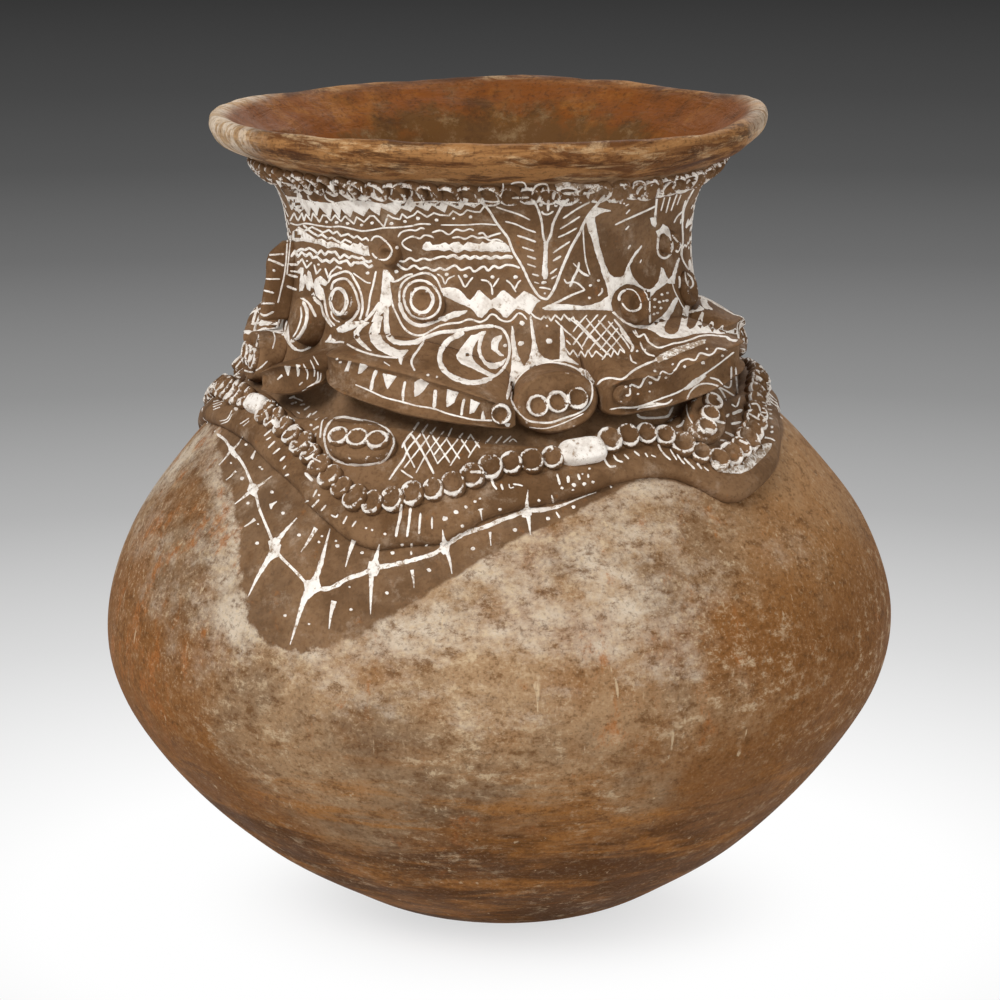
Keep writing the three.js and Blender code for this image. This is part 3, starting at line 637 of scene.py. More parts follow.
# where the dark slip stops on the belly: read off the picture frame, taken to the wall, and carried round the back
slipEdge = dict(
    seen=[(215, 430), (219, 442), (229, 486), (239, 531), (241, 575), (248, 627), (262, 647), (283, 651), (325, 651),
          (356, 640), (401, 609), (434, 591), (479, 562), (521, 537), (562, 520), (594, 503), (623, 487), (643, 477),
          (664, 479), (684, 486), (725, 491), (755, 486), (776, 471), (779, 444)],
    reach=0.02, steps=1440,
)
wallTree = BVHTree.FromPolygons(*[list(x) for x in joined([(w["points"], w["faces"]) for w in wallPieces.values()])])
edgeSeen = []
for x, y in slipEdge["seen"]:
    spot, _, _, _ = wallTree.ray_cast(Vector(viewFrom), Vector(sightLine(x, y)))
    if spot:
        edgeSeen.append([float(v) for v in turnAndHeight(np.array(spot))])
edgeSeen = sorted(edgeSeen)
edgeRing = edgeSeen + [[t + 180, h] for t, h in edgeSeen]
edgeTurn = np.array([edgeRing[-1][0] - 360] + [t for t, _ in edgeRing] + [edgeRing[0][0] + 360])
edgeHigh = np.array([edgeRing[-1][1]] + [h for _, h in edgeRing] + [edgeRing[0][1]])
order = np.argsort(edgeTurn)
edgeTurn, edgeHigh = edgeTurn[order], edgeHigh[order]


def slipHeight(turn):
    wrapped = (np.asarray(turn) - edgeTurn[0]) % 360 + edgeTurn[0]
    return np.interp(wrapped, edgeTurn, edgeHigh)


ringTurns = np.linspace(0, 360, slipEdge["steps"], endpoint=False)
ringSpots = handFormed(around(ringTurns, wallRadius(slipHeight(ringTurns)), slipHeight(ringTurns)))
edgeFinder = KDTree(len(ringSpots))
for i, spot in enumerate(ringSpots):
    edgeFinder.insert(spot, i)
edgeFinder.balance()

for node, wall in wallPieces.items():
    turns, heights = turnAndHeight(wall["points"])
    values = {"inner": wall["inner"]}
    if node != "rim_lip":  # how far inside the slip's edge each point lies
        inSlip = np.where(heights > slipHeight(turns), 1.0, -1.0)
        away = np.array([edgeFinder.find(Vector(p))[2] for p in wall["points"]])
        values["slip"] = np.where(wall["inner"] > 0.5, -slipEdge["reach"], inSlip * np.minimum(away, slipEdge["reach"]))
    addPiece(node + "_clay", wall["points"], wall["faces"], wall["look"], [node], wall["slotName"], values, wall["sharp"],
             vessel["turns"])
print("wall courses laid")

# applied clay: each piece is pressed a little into what carries it
applied = dict(bed=-0.0008, onMantle=0.0069, faceTurn=13.5, cover=0.85)
knead = [(70, 0.00045, 3), (210, 0.00016, 4)]  # finger marks left in the clay


def spotOn(turn, height, base, slant=0.0):
    start, radius = wallAlong(height), wallRadius(height)
    cos, sin = math.cos(math.radians(slant)), math.sin(math.radians(slant))

    def place(u, v, lift):
        return onWall(turn + np.degrees((u * cos - v * sin) / radius), start + u * sin + v * cos, base + lift)

    return place


def spotAt(origin, side, up, out):
    def place(u, v, w):
        u, v, w = (np.asarray(n, float)[..., None] for n in (u, v, w))
        return origin + u * side + v * up + w * out

    return place


def loopShares(amounts, along, count):
    # an amount for each loop, spread over the finer rows of the loft and all round them
    rows = (len(amounts) - 1) * along + 1
    return np.repeat(np.interp(np.arange(rows) / along, np.arange(len(amounts)), amounts), count)


def rounded(place, halfWidth, halfHeight, thickness, profile, middle=(0.0, 0.0), steps=16, along=3, square=1.0):
    # profile: (share of the half sizes, share of the thickness, lime amount), from the underside to the crown
    angles = np.arange(steps) * 2 * math.pi / steps
    across, upward = (np.sign(a) * np.abs(a) ** square for a in (np.cos(angles), np.sin(angles)))
    loops = [place(middle[0] + halfWidth * share * across, middle[1] + halfHeight * share * upward, thickness * lift)
             for share, lift, _ in profile[1:-1]]
    tips = [place(np.array(middle[0]), np.array(middle[1]), thickness * profile[k][1]) for k in (0, -1)]
    points, faces = loft(loops, along, 2, tips=tips)
    limes = loopShares([p[2] for p in profile[1:-1]], along, steps * 2)
    return points, faces, np.concatenate([limes, [profile[0][2], profile[-1][2]]])


flatBack = [(0, 0, 0), (0.55, 0, 0), (0.97, 0, 0)]
solidForm = flatBack + [(1, 0.5, 0), (0.84, 0.92, 0), (0.52, 1, 0), (0.24, 1.035, 0), (0, 1.04, 0)]
dishedForm = flatBack + [(1, 0.5, 0), (0.88, 0.92, 0.1), (0.7, 1, 0.2), (0.5, 0.8, 0), (0.26, 0.58, 0), (0, 0.54, 0)]
padForm = flatBack + [(1, 0.42, 0), (0.93, 0.74, 0), (0.74, 0.86, 0), (0.4, 0.84, 0), (0, 0.8, 0)]
medallionForm = flatBack + [(1, 0.45, 0.1), (0.95, 0.8, 0.3), (0.85, 0.98, 0.15), (0.7, 0.94, 0), (0.3, 0.92, 0),
                            (0, 0.92, 0)]
cupForm = [(0, -0.3, 0), (0.6, -0.3, 0), (1, -0.3, 0), (1.06, 0.4, 0.15), (1.0, 0.88, 0.6), (0.88, 1, 0.8),
           (0.75, 0.82, 0.4), (0.58, 0.42, 0), (0.28, 0.3, 0), (0, 0.28, 0)]


def addRounded(node, parts, look, slotName):
    points, faces = joined([(p, f) for p, f, _ in parts])
    limes = np.concatenate([l for _, _, l in parts])
    values = {"lime": limes} if look == slip else {"cover": np.full(len(points), applied["cover"])}
    addPiece(node + "_clay", points, faces, look, [node], slotName, values, uneven=knead)


def addRings(node, place, radius, height, pitch):
    rings = [rounded(place, radius, radius, height, cupForm, (k * pitch, 0.0), 12, 2) for k in (-1, 0, 1)]
    addRounded(node, rings, slip, "lime_white")


# sheet of clay over the shoulder, with the pressed strips that run along it
mantle = dict(top=heightOf(0.5947), swing=0.005, skirt=0.015, tongue=0.007, tongueAt=(-10, 13), flare=0.0027,
              flareAt=(52, 36), thickness=0.0074, ragged=0.0016, crest=0.75, clear=0.002, steps=144)
strip = dict(middle=heightOf(0.5066), swing=0.012, halfWidth=0.007, thickness=0.0065, pitch=0.0116, lobe=0.0076,
             room=0.6, steps=240,
             knobs=[(-61, 0.75), (17.2, 1), (122, 1), (196, 1)])  # knobs: turn, share of full size
stripPath = [(-54, 1.55), (-47, 1.15), (-39, 0.55), (-30, -0.5), (-21.5, -1.3), (-14, -0.85), (-7, -0.45), (0, 0.25),
             (8, 0.45), (17.6, 0.75), (23, 1.1), (30, 1.2), (35, 1.05), (39.5, 0.4), (44, -0.3), (49, -0.2), (54, 0.03),
             (59, 0.37), (65, 0.85), (71, 1.35), (79, 1.7), (90, 1.75), (104, 1.4), (122, 0.7), (146, -1.1), (170, 0.1),
             (196, 0.5), (218, 0.2), (240, -1.1), (258, 0.7), (272, 1.45), (284, 1.75), (296, 1.85)]


def stripCurve():
    # the path's turns and swings with an even curve through them
    turns, swings = np.array(stripPath, float).T
    turns = np.concatenate([turns - 360, turns, turns + 360])
    swings = np.tile(swings, 3)
    slope = np.zeros(len(turns))
    slope[1:-1] = (swings[2:] - swings[:-2]) / (turns[2:] - turns[:-2])
    span, t = np.diff(turns)[:, None], np.linspace(0, 1, 12, endpoint=False)
    fine = bend(swings[:-1, None], swings[1:, None], slope[:-1, None] * span, slope[1:, None] * span, t)
    return (turns[:-1, None] + span * t).ravel(), fine.ravel()


stripTurns, stripSwings = stripCurve()


def stripLevel(turn):
    return strip["middle"] + strip["swing"] * np.interp(turn, stripTurns, stripSwings)


def mantleUpper(turn):
    wave = mantle["top"] - mantle["swing"] * np.cos(np.radians(4 * (turn - applied["faceTurn"])))
    return np.maximum(wave, stripLevel(turn) + strip["halfWidth"])


def mantleLower(turn):
    tongue = mantle["tongue"] * bell(turn, *mantle["tongueAt"])
    return stripLevel(turn) - mantle["skirt"] - tongue - mantle["flare"] * bell(turn, *mantle["flareAt"])


def mantleCrest(turn):
    return mantleUpper(turn) + mantle["thickness"] * mantle["crest"] + mantle["clear"]


def mantleLoop(turn):
    wander = Vector((math.cos(math.radians(turn)) * 4, math.sin(math.radians(turn)) * 4, 0))
    low = wallAlong(mantleLower(turn)) + mantle["ragged"] * noise.noise(wander * 2.5)
    high = wallAlong(mantleUpper(turn)) + mantle["ragged"] * noise.noise(wander * 2 + Vector((9, 4, 1)))
    thick, bed = mantle["thickness"], applied["bed"]
    spots = [(low - 0.0012, thick * 0.3), (low - 0.0004, thick * 0.72), (low + 0.0035, thick * 1.02)]
    spots += [(mix(low, high, share), thick) for share in (0.25, 0.5, 0.75)]
    spots += [(high - 0.003, thick * 0.98), (high, thick * 0.5)]
    spots += [(mix(low, high, share), bed) for share in (0.98, 0.66, 0.33, 0)]
    return [onWall(turn, along, lift) for along, lift in spots]


mantleLoops = [mantleLoop(k * 360 / mantle["steps"]) for k in range(mantle["steps"])]
mantlePoints, mantleFaces = loft(mantleLoops, 2, 3, closed=True)
addPiece("shoulder_mantle_clay", mantlePoints, mantleFaces, slip, ["shoulder_mantle"], "dark_slip", uneven=knead)

# snouts, jaws and eyes of the four faces
snout = dict(halfWidth=0.0255, tilt=12, edge=0.005, dish=0.0013, pellet=0.0064, pelletPitch=0.012, pelletHeight=0.004,
             steps=20, limes=[0, 0, 0, 0, 0.05, 0.15, 0, 0, 0])
jaw = dict(start=10.8, height=heightOf(0.6696), lift=0.025, rise=0.8, brow=0.017, tip=0.004, lipHalf=0.012,
           outNear=0.029, outFar=0.038, undercut=0.007, dish=0.0042, dishOver=0.12,
           tipFrom=0.84, tipOver=0.175, outAtTip=0.45, halfAtTip=0.5,  # rounded far end
           rootOver=0.1, outAtRoot=0.72, halfAtRoot=0.62, innerOver=0.4,  # soft end beside the snout
           swellLeast=0.4, swellFrom=0.06, swellOver=0.8,
           pellet=0.0058, pelletHeight=0.005, pelletLift=0.002, pelletOut=0.0012, pelletShare=0.07,
           shares=[0, 0.02, 0.05] + [0.1 + 0.075 * k for k in range(13)])
eyes = dict(turn=30, height=heightOf(0.9075), radius=0.011, thickness=0.0055)
broad = dict(level=0.696, out=0.0203, halfHeight=0.018)
small = dict(level=0.718, out=0.017, halfHeight=0.015)
backJaw = dict(out=0.9, reach=44, drop=0, lift=0.8, brow=1)
faceList = [
    dict(name="front", turn=13.5, slant=8, eyeSlope=0.003, eyeShift=-1, snout=broad,
         left=dict(out=1, start=9, reach=51.5, drop=0.07, lift=1, brow=0.85, slim=1.12),
         right=dict(out=1, start=9.6, reach=52, drop=-0.04, lift=0.8, brow=1, tip=2.5, inner=0.38)),
    dict(name="right", turn=103.5, slant=0, eyeSlope=-0.002, eyeShift=-3, snout=small,
         left=dict(out=0.62, reach=35, drop=-0.55, lift=0.48, brow=1),
         right=dict(out=0.8, reach=44, drop=-0.08, lift=0.72, brow=1)),
    dict(name="back", turn=193.5, slant=-4, eyeSlope=0, eyeShift=0, snout=broad, left=backJaw, right=backJaw),
    dict(name="left", turn=-76.5, slant=0, eyeSlope=0, eyeShift=3, snout=dict(small, out=0.0129),
         left=dict(out=0.45, reach=44, drop=-0.32, lift=0.56, brow=1),
         right=dict(out=0.85, start=19, reach=37, drop=-0.2, lift=0.4, brow=0.2, slim=0.8)),
]


def snoutPlace(face):
    tilt, slant = math.radians(snout["tilt"]), math.radians(face["slant"])
    out = around(face["turn"], math.cos(tilt), math.sin(tilt))
    side = around(face["turn"] + 90, 1.0, 0.0)
    up = np.cross(out, side)
    height = heightOf(face["snout"]["level"])
    origin = around(face["turn"], wallRadius(height) + face["snout"]["out"], height)
    cos, sin = math.cos(slant), math.sin(slant)
    return spotAt(origin, side * cos + up * sin, up * cos - side * sin, out)


def addSnout(face):
    place = snoutPlace(face)
    half = face["snout"]["halfHeight"]
    centre = heightOf(face["snout"]["level"])
    rootShare = 1 - (mantleCrest(face["turn"]) - (centre - half)) / (2 * half)
    angles = np.arange(snout["steps"]) * 2 * math.pi / snout["steps"]

    def front(share, lift):
        across, upward = snout["halfWidth"] * share * np.cos(angles), half * share * np.sin(angles)
        return place(across, upward, np.full(snout["steps"], lift))

    def onto(points):
        # the same point on the wall, clear of the mantle
        height = mix(centre + half, points[..., 2], rootShare)
        bearing = np.degrees(np.arctan2(points[..., 0], -points[..., 1]))
        return around(bearing, wallRadius(height) + applied["bed"], height)

    edge, dish = snout["edge"], snout["dish"]
    loops = [onto(front(0.5, 0)), onto(front(0.97, 0)), mix(onto(front(0.99, 0)), front(1, -edge), 0.6)]
    disc = [(1.0, -edge), (0.98, -edge * 0.4), (0.91, 0.0002), (0.82, -dish * 0.35), (0.66, -dish), (0.3, -dish)]
    loops += [front(share, lift) for share, lift in disc]
    points, faces = loft(loops, 3, 3, tips=[onto(place(0, 0, 0)), place(0, 0, -dish)])
    limes = np.concatenate([loopShares(snout["limes"], 3, snout["steps"] * 3), [0, 0]])
    name = face["name"] + "_snout"
    addPiece(name + "_clay", points, faces, slip, [name], "dark_slip", {"lime": limes}, uneven=knead)
    addRings(name + "_rings", lambda u, v, w: place(u, v, w - dish), snout["pellet"], snout["pelletHeight"],
             snout["pelletPitch"])


def jawSection(one, share):
    rounding = math.sqrt(max(0, 1 - (max(0, share - jaw["tipFrom"]) / jaw["tipOver"]) ** 2))
    root = math.sqrt(1 - max(0, 1 - share / jaw["rootOver"]) ** 2)
    centre = jaw["height"] + jaw["lift"] * (one["lift"] * share ** jaw["rise"] - one["drop"])
    swell = mix(jaw["swellLeast"], 1, math.sin(math.pi * (jaw["swellFrom"] + jaw["swellOver"] * share)))
    more = one.get("inner", 0) * (1 - smooth(share / jaw["innerOver"]))  # fuller towards the snout
    swell, centre = swell + more, centre + jaw["lipHalf"] * more
    out = one["out"] * mix(jaw["outNear"], jaw["outFar"], share)
    out = out * mix(jaw["outAtTip"], 1, rounding) * mix(jaw["outAtRoot"], 1, root)
    half = jaw["lipHalf"] * one.get("slim", 1) * swell
    return dict(rounding=rounding, centre=centre, lip=wallRadius(centre) + out,
                bearing=one["turn"] + one["side"] * mix(one.get("start", jaw["start"]), one["reach"], share),
                half=half * mix(jaw["halfAtTip"], 1, rounding) * mix(jaw["halfAtRoot"], 1, root))


def jawLoop(one, share):
    part = jawSection(one, share)
    bearing, centre, half, lip = part["bearing"], part["centre"], part["half"], part["lip"]
    top, bottom = centre + half, centre - half
    high = top + mix(jaw["brow"] * one["brow"], jaw["tip"] * one.get("tip", 1), share)
    low = max(bottom + jaw["undercut"] * part["rounding"], float(mantleCrest(bearing)))
    middle = (low + high) / 2
    rootHigh, rootLow, rootMid = (wallRadius(height) + applied["bed"] for height in (high, low, middle))
    dish = jaw["dish"] * part["rounding"] * smooth(share / jaw["dishOver"])
    section = [(rootHigh, high), (mix(rootHigh, lip, 0.5), mix(high, top, 0.45)), (lip - 0.0045, top + 0.0004),
               (lip - 0.0002, top - 0.0007), (lip + 0.0011, top - half * 0.16),
               (lip + 0.0008 - dish * 0.7, top - half * 0.36), (lip + 0.0012 - dish, centre),
               (lip + 0.0008 - dish * 0.7, bottom + half * 0.34),
               (lip + 0.0012, bottom + half * 0.16), (lip, bottom + 0.0007), (lip - 0.005, bottom),
               (mix(rootLow, lip, 0.5), mix(bottom, low, 0.6)), (rootLow, low), (rootMid, middle)]
    return [around(bearing, r, z) for r, z in section]


def addJaw(name, one):
    loops = [jawLoop(one, share) for share in jaw["shares"]]
    points, faces = loft(loops, 4, 3, tips=endTips(loops))
    addPiece(name + "_clay", points, faces, slip, [name], "dark_slip", uneven=knead)


def addJawPellet(name, one, form):
    part = jawSection(one, jaw["pelletShare"])
    out, side = around(part["bearing"], 1.0, 0.0), around(part["bearing"] + 90, 1.0, 0.0)
    origin = around(part["bearing"], part["lip"] + jaw["pelletOut"], part["centre"] + jaw["pelletLift"])
    place = spotAt(origin, side, np.array([0, 0, 1.0]), out)
    pellet = rounded(place, jaw["pellet"], jaw["pellet"], jaw["pelletHeight"], form, steps=12, along=2)
    addRounded(name, [pellet], slip, "lime_white")


for face in faceList:
    addSnout(face)
    leftJaw = dict(turn=face["turn"], side=-1, **face["left"])
    rightJaw = dict(turn=face["turn"], side=1, **face["right"])
    addJaw(face["name"] + "_jaw_left", leftJaw)
    addJaw(face["name"] + "_jaw_right", rightJaw)
    if face["name"] == "front":
        addJawPellet("front_snout_ring", leftJaw, cupForm)
        addJawPellet("front_snout_lump", rightJaw, dishedForm)
    for side, word in ((-1, "left"), (1, "right")):
        place = spotOn(face["turn"] + side * eyes["turn"] + face["eyeShift"], eyes["height"] - side * face["eyeSlope"],
                       applied["bed"])
        ball = rounded(place, eyes["radius"], eyes["radius"], eyes["thickness"], dishedForm)
        addRounded(face["name"] + "_eye_" + word, [ball], slip, "dark_slip")
print("faces modelled")

# pellets and medallions at the corners between the faces
corner = dict(pelletHeight=heightOf(1.044), pelletRadius=0.007, pelletThick=0.007, medallion=heightOf(0.555),
              halfWidth=0.021, halfHeight=0.0135, thickness=0.0084, ringLift=0.00752, ring=0.0064, ringPitch=0.012,
              ringHeight=0.004)
cornerList = [dict(name="front_left", pelletTurn=-28, turn=-26.5, rise=0, slant=0, wide=1),
              dict(name="front_right", pelletTurn=58, turn=47.5, rise=0.005, slant=44, wide=0.95),
              dict(name="back_right", pelletTurn=150, turn=150, rise=0.001, slant=0, wide=1),
              dict(name="back_left", pelletTurn=240, turn=240, rise=0.001, slant=0, wide=1)]
for one in cornerList:
    place = spotOn(one["pelletTurn"], corner["pelletHeight"], applied["bed"])
    pellet = rounded(place, corner["pelletRadius"], corner["pelletRadius"], corner["pelletThick"], dishedForm, steps=12)
    addRounded(one["name"] + "_pellet", [pellet], slip, "dark_slip")
    height = corner["medallion"] + one["rise"]
    place = spotOn(one["turn"], height, applied["onMantle"], one["slant"])
    disc = rounded(place, corner["halfWidth"] * one["wide"], corner["halfHeight"], corner["thickness"], medallionForm,
                   steps=20)
    addRounded(one["name"] + "_medallion", [disc], slip, "dark_slip")
    place = spotOn(one["turn"], height, applied["onMantle"] + corner["ringLift"], one["slant"])
    addRings(one["name"] + "_medallion_rings", place, corner["ring"], corner["ringHeight"], corner["ringPitch"])

# knobs on the strips
knob = dict(halfWidth=0.0135, halfHeight=0.0082, thickness=0.0089, slant=4, square=0.62)
for k, (turn, share) in enumerate(strip["knobs"]):
    place = spotOn(turn, float(stripLevel(turn)), applied["onMantle"], knob["slant"])
    lump = rounded(place, knob["halfWidth"] * share, knob["halfHeight"] * share, knob["thickness"] * share, padForm,
                   steps=20, square=knob["square"])
    addRounded("shoulder_knob_%d" % (k + 1), [lump], limeWhite, "lime_white")

# nose flange and cheek of the left face
flange = dict(turn=-76, low=heightOf(0.815), high=heightOf(1.0176), half=0.0055, narrow=0.75, out=0.017,
              roundFrom=0.7, roundOver=0.33, steps=8,
              section=[(-1, 0), (-0.92, 0.45), (-0.75, 0.85), (0, 1), (0.75, 0.85), (0.92, 0.45), (1, 0)])
cheek = dict(turn=-55.5, height=heightOf(0.836), halfWidth=0.010, halfHeight=0.015, thickness=0.0155)


def flangeLoop(share):
    height = mix(flange["low"], flange["high"], share)
    radius = float(wallRadius(height))
    past = min(1, max(0, (share - flange["roundFrom"]) / flange["roundOver"]))
    out = radius + flange["out"] * math.sqrt(1 - past ** 2)
    across = math.degrees(flange["half"] * mix(1, flange["narrow"], share) / radius)
    root = radius + applied["bed"]
    return [around(flange["turn"] + turn * across, mix(root, out, far), height) for turn, far in flange["section"]]


flangeLoops = [flangeLoop(k / flange["steps"]) for k in range(flange["steps"] + 1)]
points, faces = loft(flangeLoops, 3, 3, tips=endTips(flangeLoops))
addPiece("left_nose_flange_clay", points, faces, slip, ["left_nose_flange"], "dark_slip", uneven=knead)
place = spotOn(cheek["turn"], cheek["height"], applied["bed"])
lump = rounded(place, cheek["halfWidth"], cheek["halfHeight"], cheek["thickness"], solidForm)
addRounded("left_cheek", [lump], slip, "dark_slip")
print("corner pieces modelled")

# pressed strips: a low band with a row of fingertip cups laid along it
rimStrip = dict(drop=0.003, halfWidth=0.0075, thickness=0.0046, lobes=77, lobe=0.0085, stray=0.6, limed=(0.56, 1.22))
lobe = dict(steps=14, squeeze=0.9, tilt=13, uneven=0.1, seed=7, lift=0.52, stand=0.004, hollow=0.04,
            limed=(0.55, 1.1), limeTurn=215, limeLevel=0.74, limeSwing=0.3, limeSeed=5,
            form=[(1.0, -0.5, 0), (1.05, -0.04, 0.15), (1.0, 0.2, 0.9), (0.9, 0.29, 1.05), (0.76, 0.14, 0.45),
                  (0.48, -0.12, 0)],
            band=[(-1, -0.2), (-0.85, 0.2), (0, 0.26), (0.85, 0.2), (1, -0.2)])


def lobeForm():
    points, limes = [], []
    for share, lift, lime in lobe["form"]:
        for k in range(lobe["steps"]):
            angle = 2 * math.pi * k / lobe["steps"]
            points.append((share * lobe["squeeze"] * math.cos(angle), share * math.sin(angle), lift))
            swing = lobe["limeSwing"] * math.cos(angle - math.radians(lobe["limeTurn"]))  # thicker on one side
            limes.append(lime * (lobe["limeLevel"] + swing))
    points += [(0, 0, lobe["form"][0][1]), (0, 0, lobe["form"][-1][1] - lobe["hollow"])]
    cos, sin = math.cos(math.radians(lobe["tilt"])), math.sin(math.radians(lobe["tilt"]))
    points = [(x * cos - z * sin, y, x * sin + z * cos) for x, y, z in points]
    faces = outwards(np.array(points), loopFaces(len(lobe["form"]), lobe["steps"], False, True))
    mesh = meshOf("lobe_form", points, faces)
    setValues(mesh, {"lime": limes + [0, 0]})
    return inScene("lobe_form", mesh)


def lobeTree():
    tree = bpy.data.node_groups.new("pressed_lobes", "GeometryNodeTree")
    sockets = {}
    for name, kind in (("Geometry", "Geometry"), ("Lobe places", "Object"), ("Lobe form", "Object"),
                       ("Lobe size", "Float"), ("Unevenness", "Float"), ("Seed", "Int"), ("Clay", "Material")):
        sockets[name] = tree.interface.new_socket(name, in_out="INPUT", socket_type="NodeSocket" + kind).identifier
    tree.interface.new_socket("Geometry", in_out="OUTPUT", socket_type="NodeSocketGeometry")
    given = tree.nodes.new("NodeGroupInput").outputs

    def node(kind, inputs, **settings):
        return addNode(tree, kind, inputs, settings)

    def shapeOf(thing):
        return node("GeometryNodeObjectInfo", {"Object": thing}, transform_space="ORIGINAL").outputs["Geometry"]

    def direction(name):
        made = node("GeometryNodeInputNamedAttribute", {"Name": name}, data_type="FLOAT_VECTOR")
        return socketOf(made.outputs, "Attribute")

    def maths(kind, first, second):
        return node("ShaderNodeMath", {0: first, 1: second}, operation=kind).outputs[0]

    spots, form = shapeOf(given["Lobe places"]), shapeOf(given["Lobe form"])
    outward, onward = direction("outward"), direction("onward")
    stand = node("FunctionNodeAlignRotationToVector", {"Vector": outward}, axis="Z").outputs[0]
    turned = node("FunctionNodeAlignRotationToVector", {"Rotation": stand, "Vector": onward}, axis="X", pivot_axis="Z")
    least, most = (maths(kind, 1.0, given["Unevenness"]) for kind in ("SUBTRACT", "ADD"))
    vary = node("FunctionNodeRandomValue", {"Min": least, "Max": most, "Seed": given["Seed"]}, data_type="FLOAT")
    size = maths("MULTIPLY", given["Lobe size"], socketOf(vary.outputs, "Value"))
    placed = node("GeometryNodeInstanceOnPoints",
                  {"Points": spots, "Instance": form, "Rotation": turned.outputs[0], "Scale": size})
    solid = node("GeometryNodeRealizeInstances", {"Geometry": placed.outputs[0]})
    both = node("GeometryNodeJoinGeometry", {"Geometry": given["Geometry"]})
    tree.links.new(solid.outputs[0], both.inputs[0])
    clay = node("GeometryNodeSetMaterial", {"Geometry": both.outputs[0], "Material": given["Clay"]})
    tree.links.new(clay.outputs[0], tree.nodes.new("NodeGroupOutput").inputs[0])
    return tree, sockets


pressForm = lobeForm()
pressTree, pressInputs = lobeTree()


def addPressedStrip(node, turns, alongs, base, kind, limed, closed):
    loops = [[onWall(turn, along + v * kind["halfWidth"], base + kind["thickness"] * lift) for v, lift in lobe["band"]]
             for turn, along in zip(turns, alongs)]
    points, faces = loft(loops, 2, 3, closed=closed, tips=None if closed else endTips(loops))
    band = inScene(node + "_band", meshOf(node + "_band", points, faces))
    lift = base + kind["thickness"] * lobe["lift"]
    spots, above = (handFormed(np.array([onWall(t, a, lift + more) for t, a in zip(turns, alongs)]))
                    for more in (0, lobe["stand"]))
    ahead = (np.roll(spots, -1, 0) - np.roll(spots, 1, 0)) if closed else np.gradient(spots, axis=0)
    places = inScene(node + "_places", bpy.data.meshes.new(node + "_places"))
    places.data.from_pydata(spots.tolist(), [], [])
    for key, vectors in (("outward", above - spots), ("onward", ahead)):
        places.data.attributes.new(key, "FLOAT_VECTOR", "POINT").data.foreach_set("vector", vectors.ravel())
    setValues(places.data, {"limeHere": limed})
    press = band.modifiers.new("pressed_lobes", "NODES")
    press.node_group = pressTree
    for key, value in (("Lobe places", places), ("Lobe form", pressForm), ("Lobe size", kind["lobe"]),
                       ("Unevenness", lobe["uneven"]), ("Seed", lobe["seed"]), ("Clay", slip)):
        press[pressInputs[key]] = value
    bpy.context.view_layer.update()
    graph = bpy.context.evaluated_depsgraph_get()
    mesh = bpy.data.meshes.new_from_object(band.evaluated_get(graph), preserve_all_data_layers=True, depsgraph=graph)
    points = np.zeros(len(mesh.vertices) * 3)
    mesh.vertices.foreach_get("co", points)
    limes = np.ones(len(mesh.vertices), np.float32)
    for key in ("lime", "limeHere"):
        amounts = np.zeros(len(mesh.vertices), np.float32)
        mesh.attributes[key].data.foreach_get("value", amounts)
        limes = limes * amounts
    faces = [tuple(f.vertices) for f in mesh.polygons]
    for spare in (band, places):
        bpy.data.objects.remove(spare)
    addPiece(node + "_clay", points.reshape(-1, 3), faces, slip, [node], "dark_slip", {"lime": limes}, uneven=knead)


rng = random.Random(lobe["limeSeed"])
rimAlong = lineAlong[-1] - rimStrip["halfWidth"] - rimStrip["drop"]
strays = np.array([rng.uniform(-rimStrip["stray"], rimStrip["stray"]) for _ in range(rimStrip["lobes"])])
rimTurns = np.arange(rimStrip["lobes"]) * 360 / rimStrip["lobes"] + strays
rimLime = [rng.uniform(*rimStrip["limed"]) for _ in rimTurns]
addPressedStrip("rim_strip", rimTurns, np.full(len(rimTurns), rimAlong), applied["bed"], rimStrip, rimLime, True)


def knobRoom(turn, share):
    return math.degrees((knob["halfWidth"] * share + strip["lobe"] * strip["room"]) / float(wallRadius(stripLevel(turn))))


for k, (start, startShare) in enumerate(strip["knobs"]):
    end, endShare = strip["knobs"][(k + 1) % len(strip["knobs"])]
    end = end + 360 if end < start else end
    path = np.linspace(start + knobRoom(start, startShare), end - knobRoom(end, endShare), strip["steps"])
    lengths = runAlong(around(path, wallRadius(stripLevel(path)), stripLevel(path)))
    count = int(round(lengths[-1] / strip["pitch"])) + 1
    turns = np.interp(np.linspace(0, lengths[-1], count), lengths, path)
    limed = [rng.uniform(*lobe["limed"]) for _ in turns]
    addPressedStrip("shoulder_strip_%d" % (k + 1), turns, wallAlong(stripLevel(turns)), applied["onMantle"], strip,
                    limed, False)
bpy.data.objects.remove(pressForm)
print("pressed strips laid")
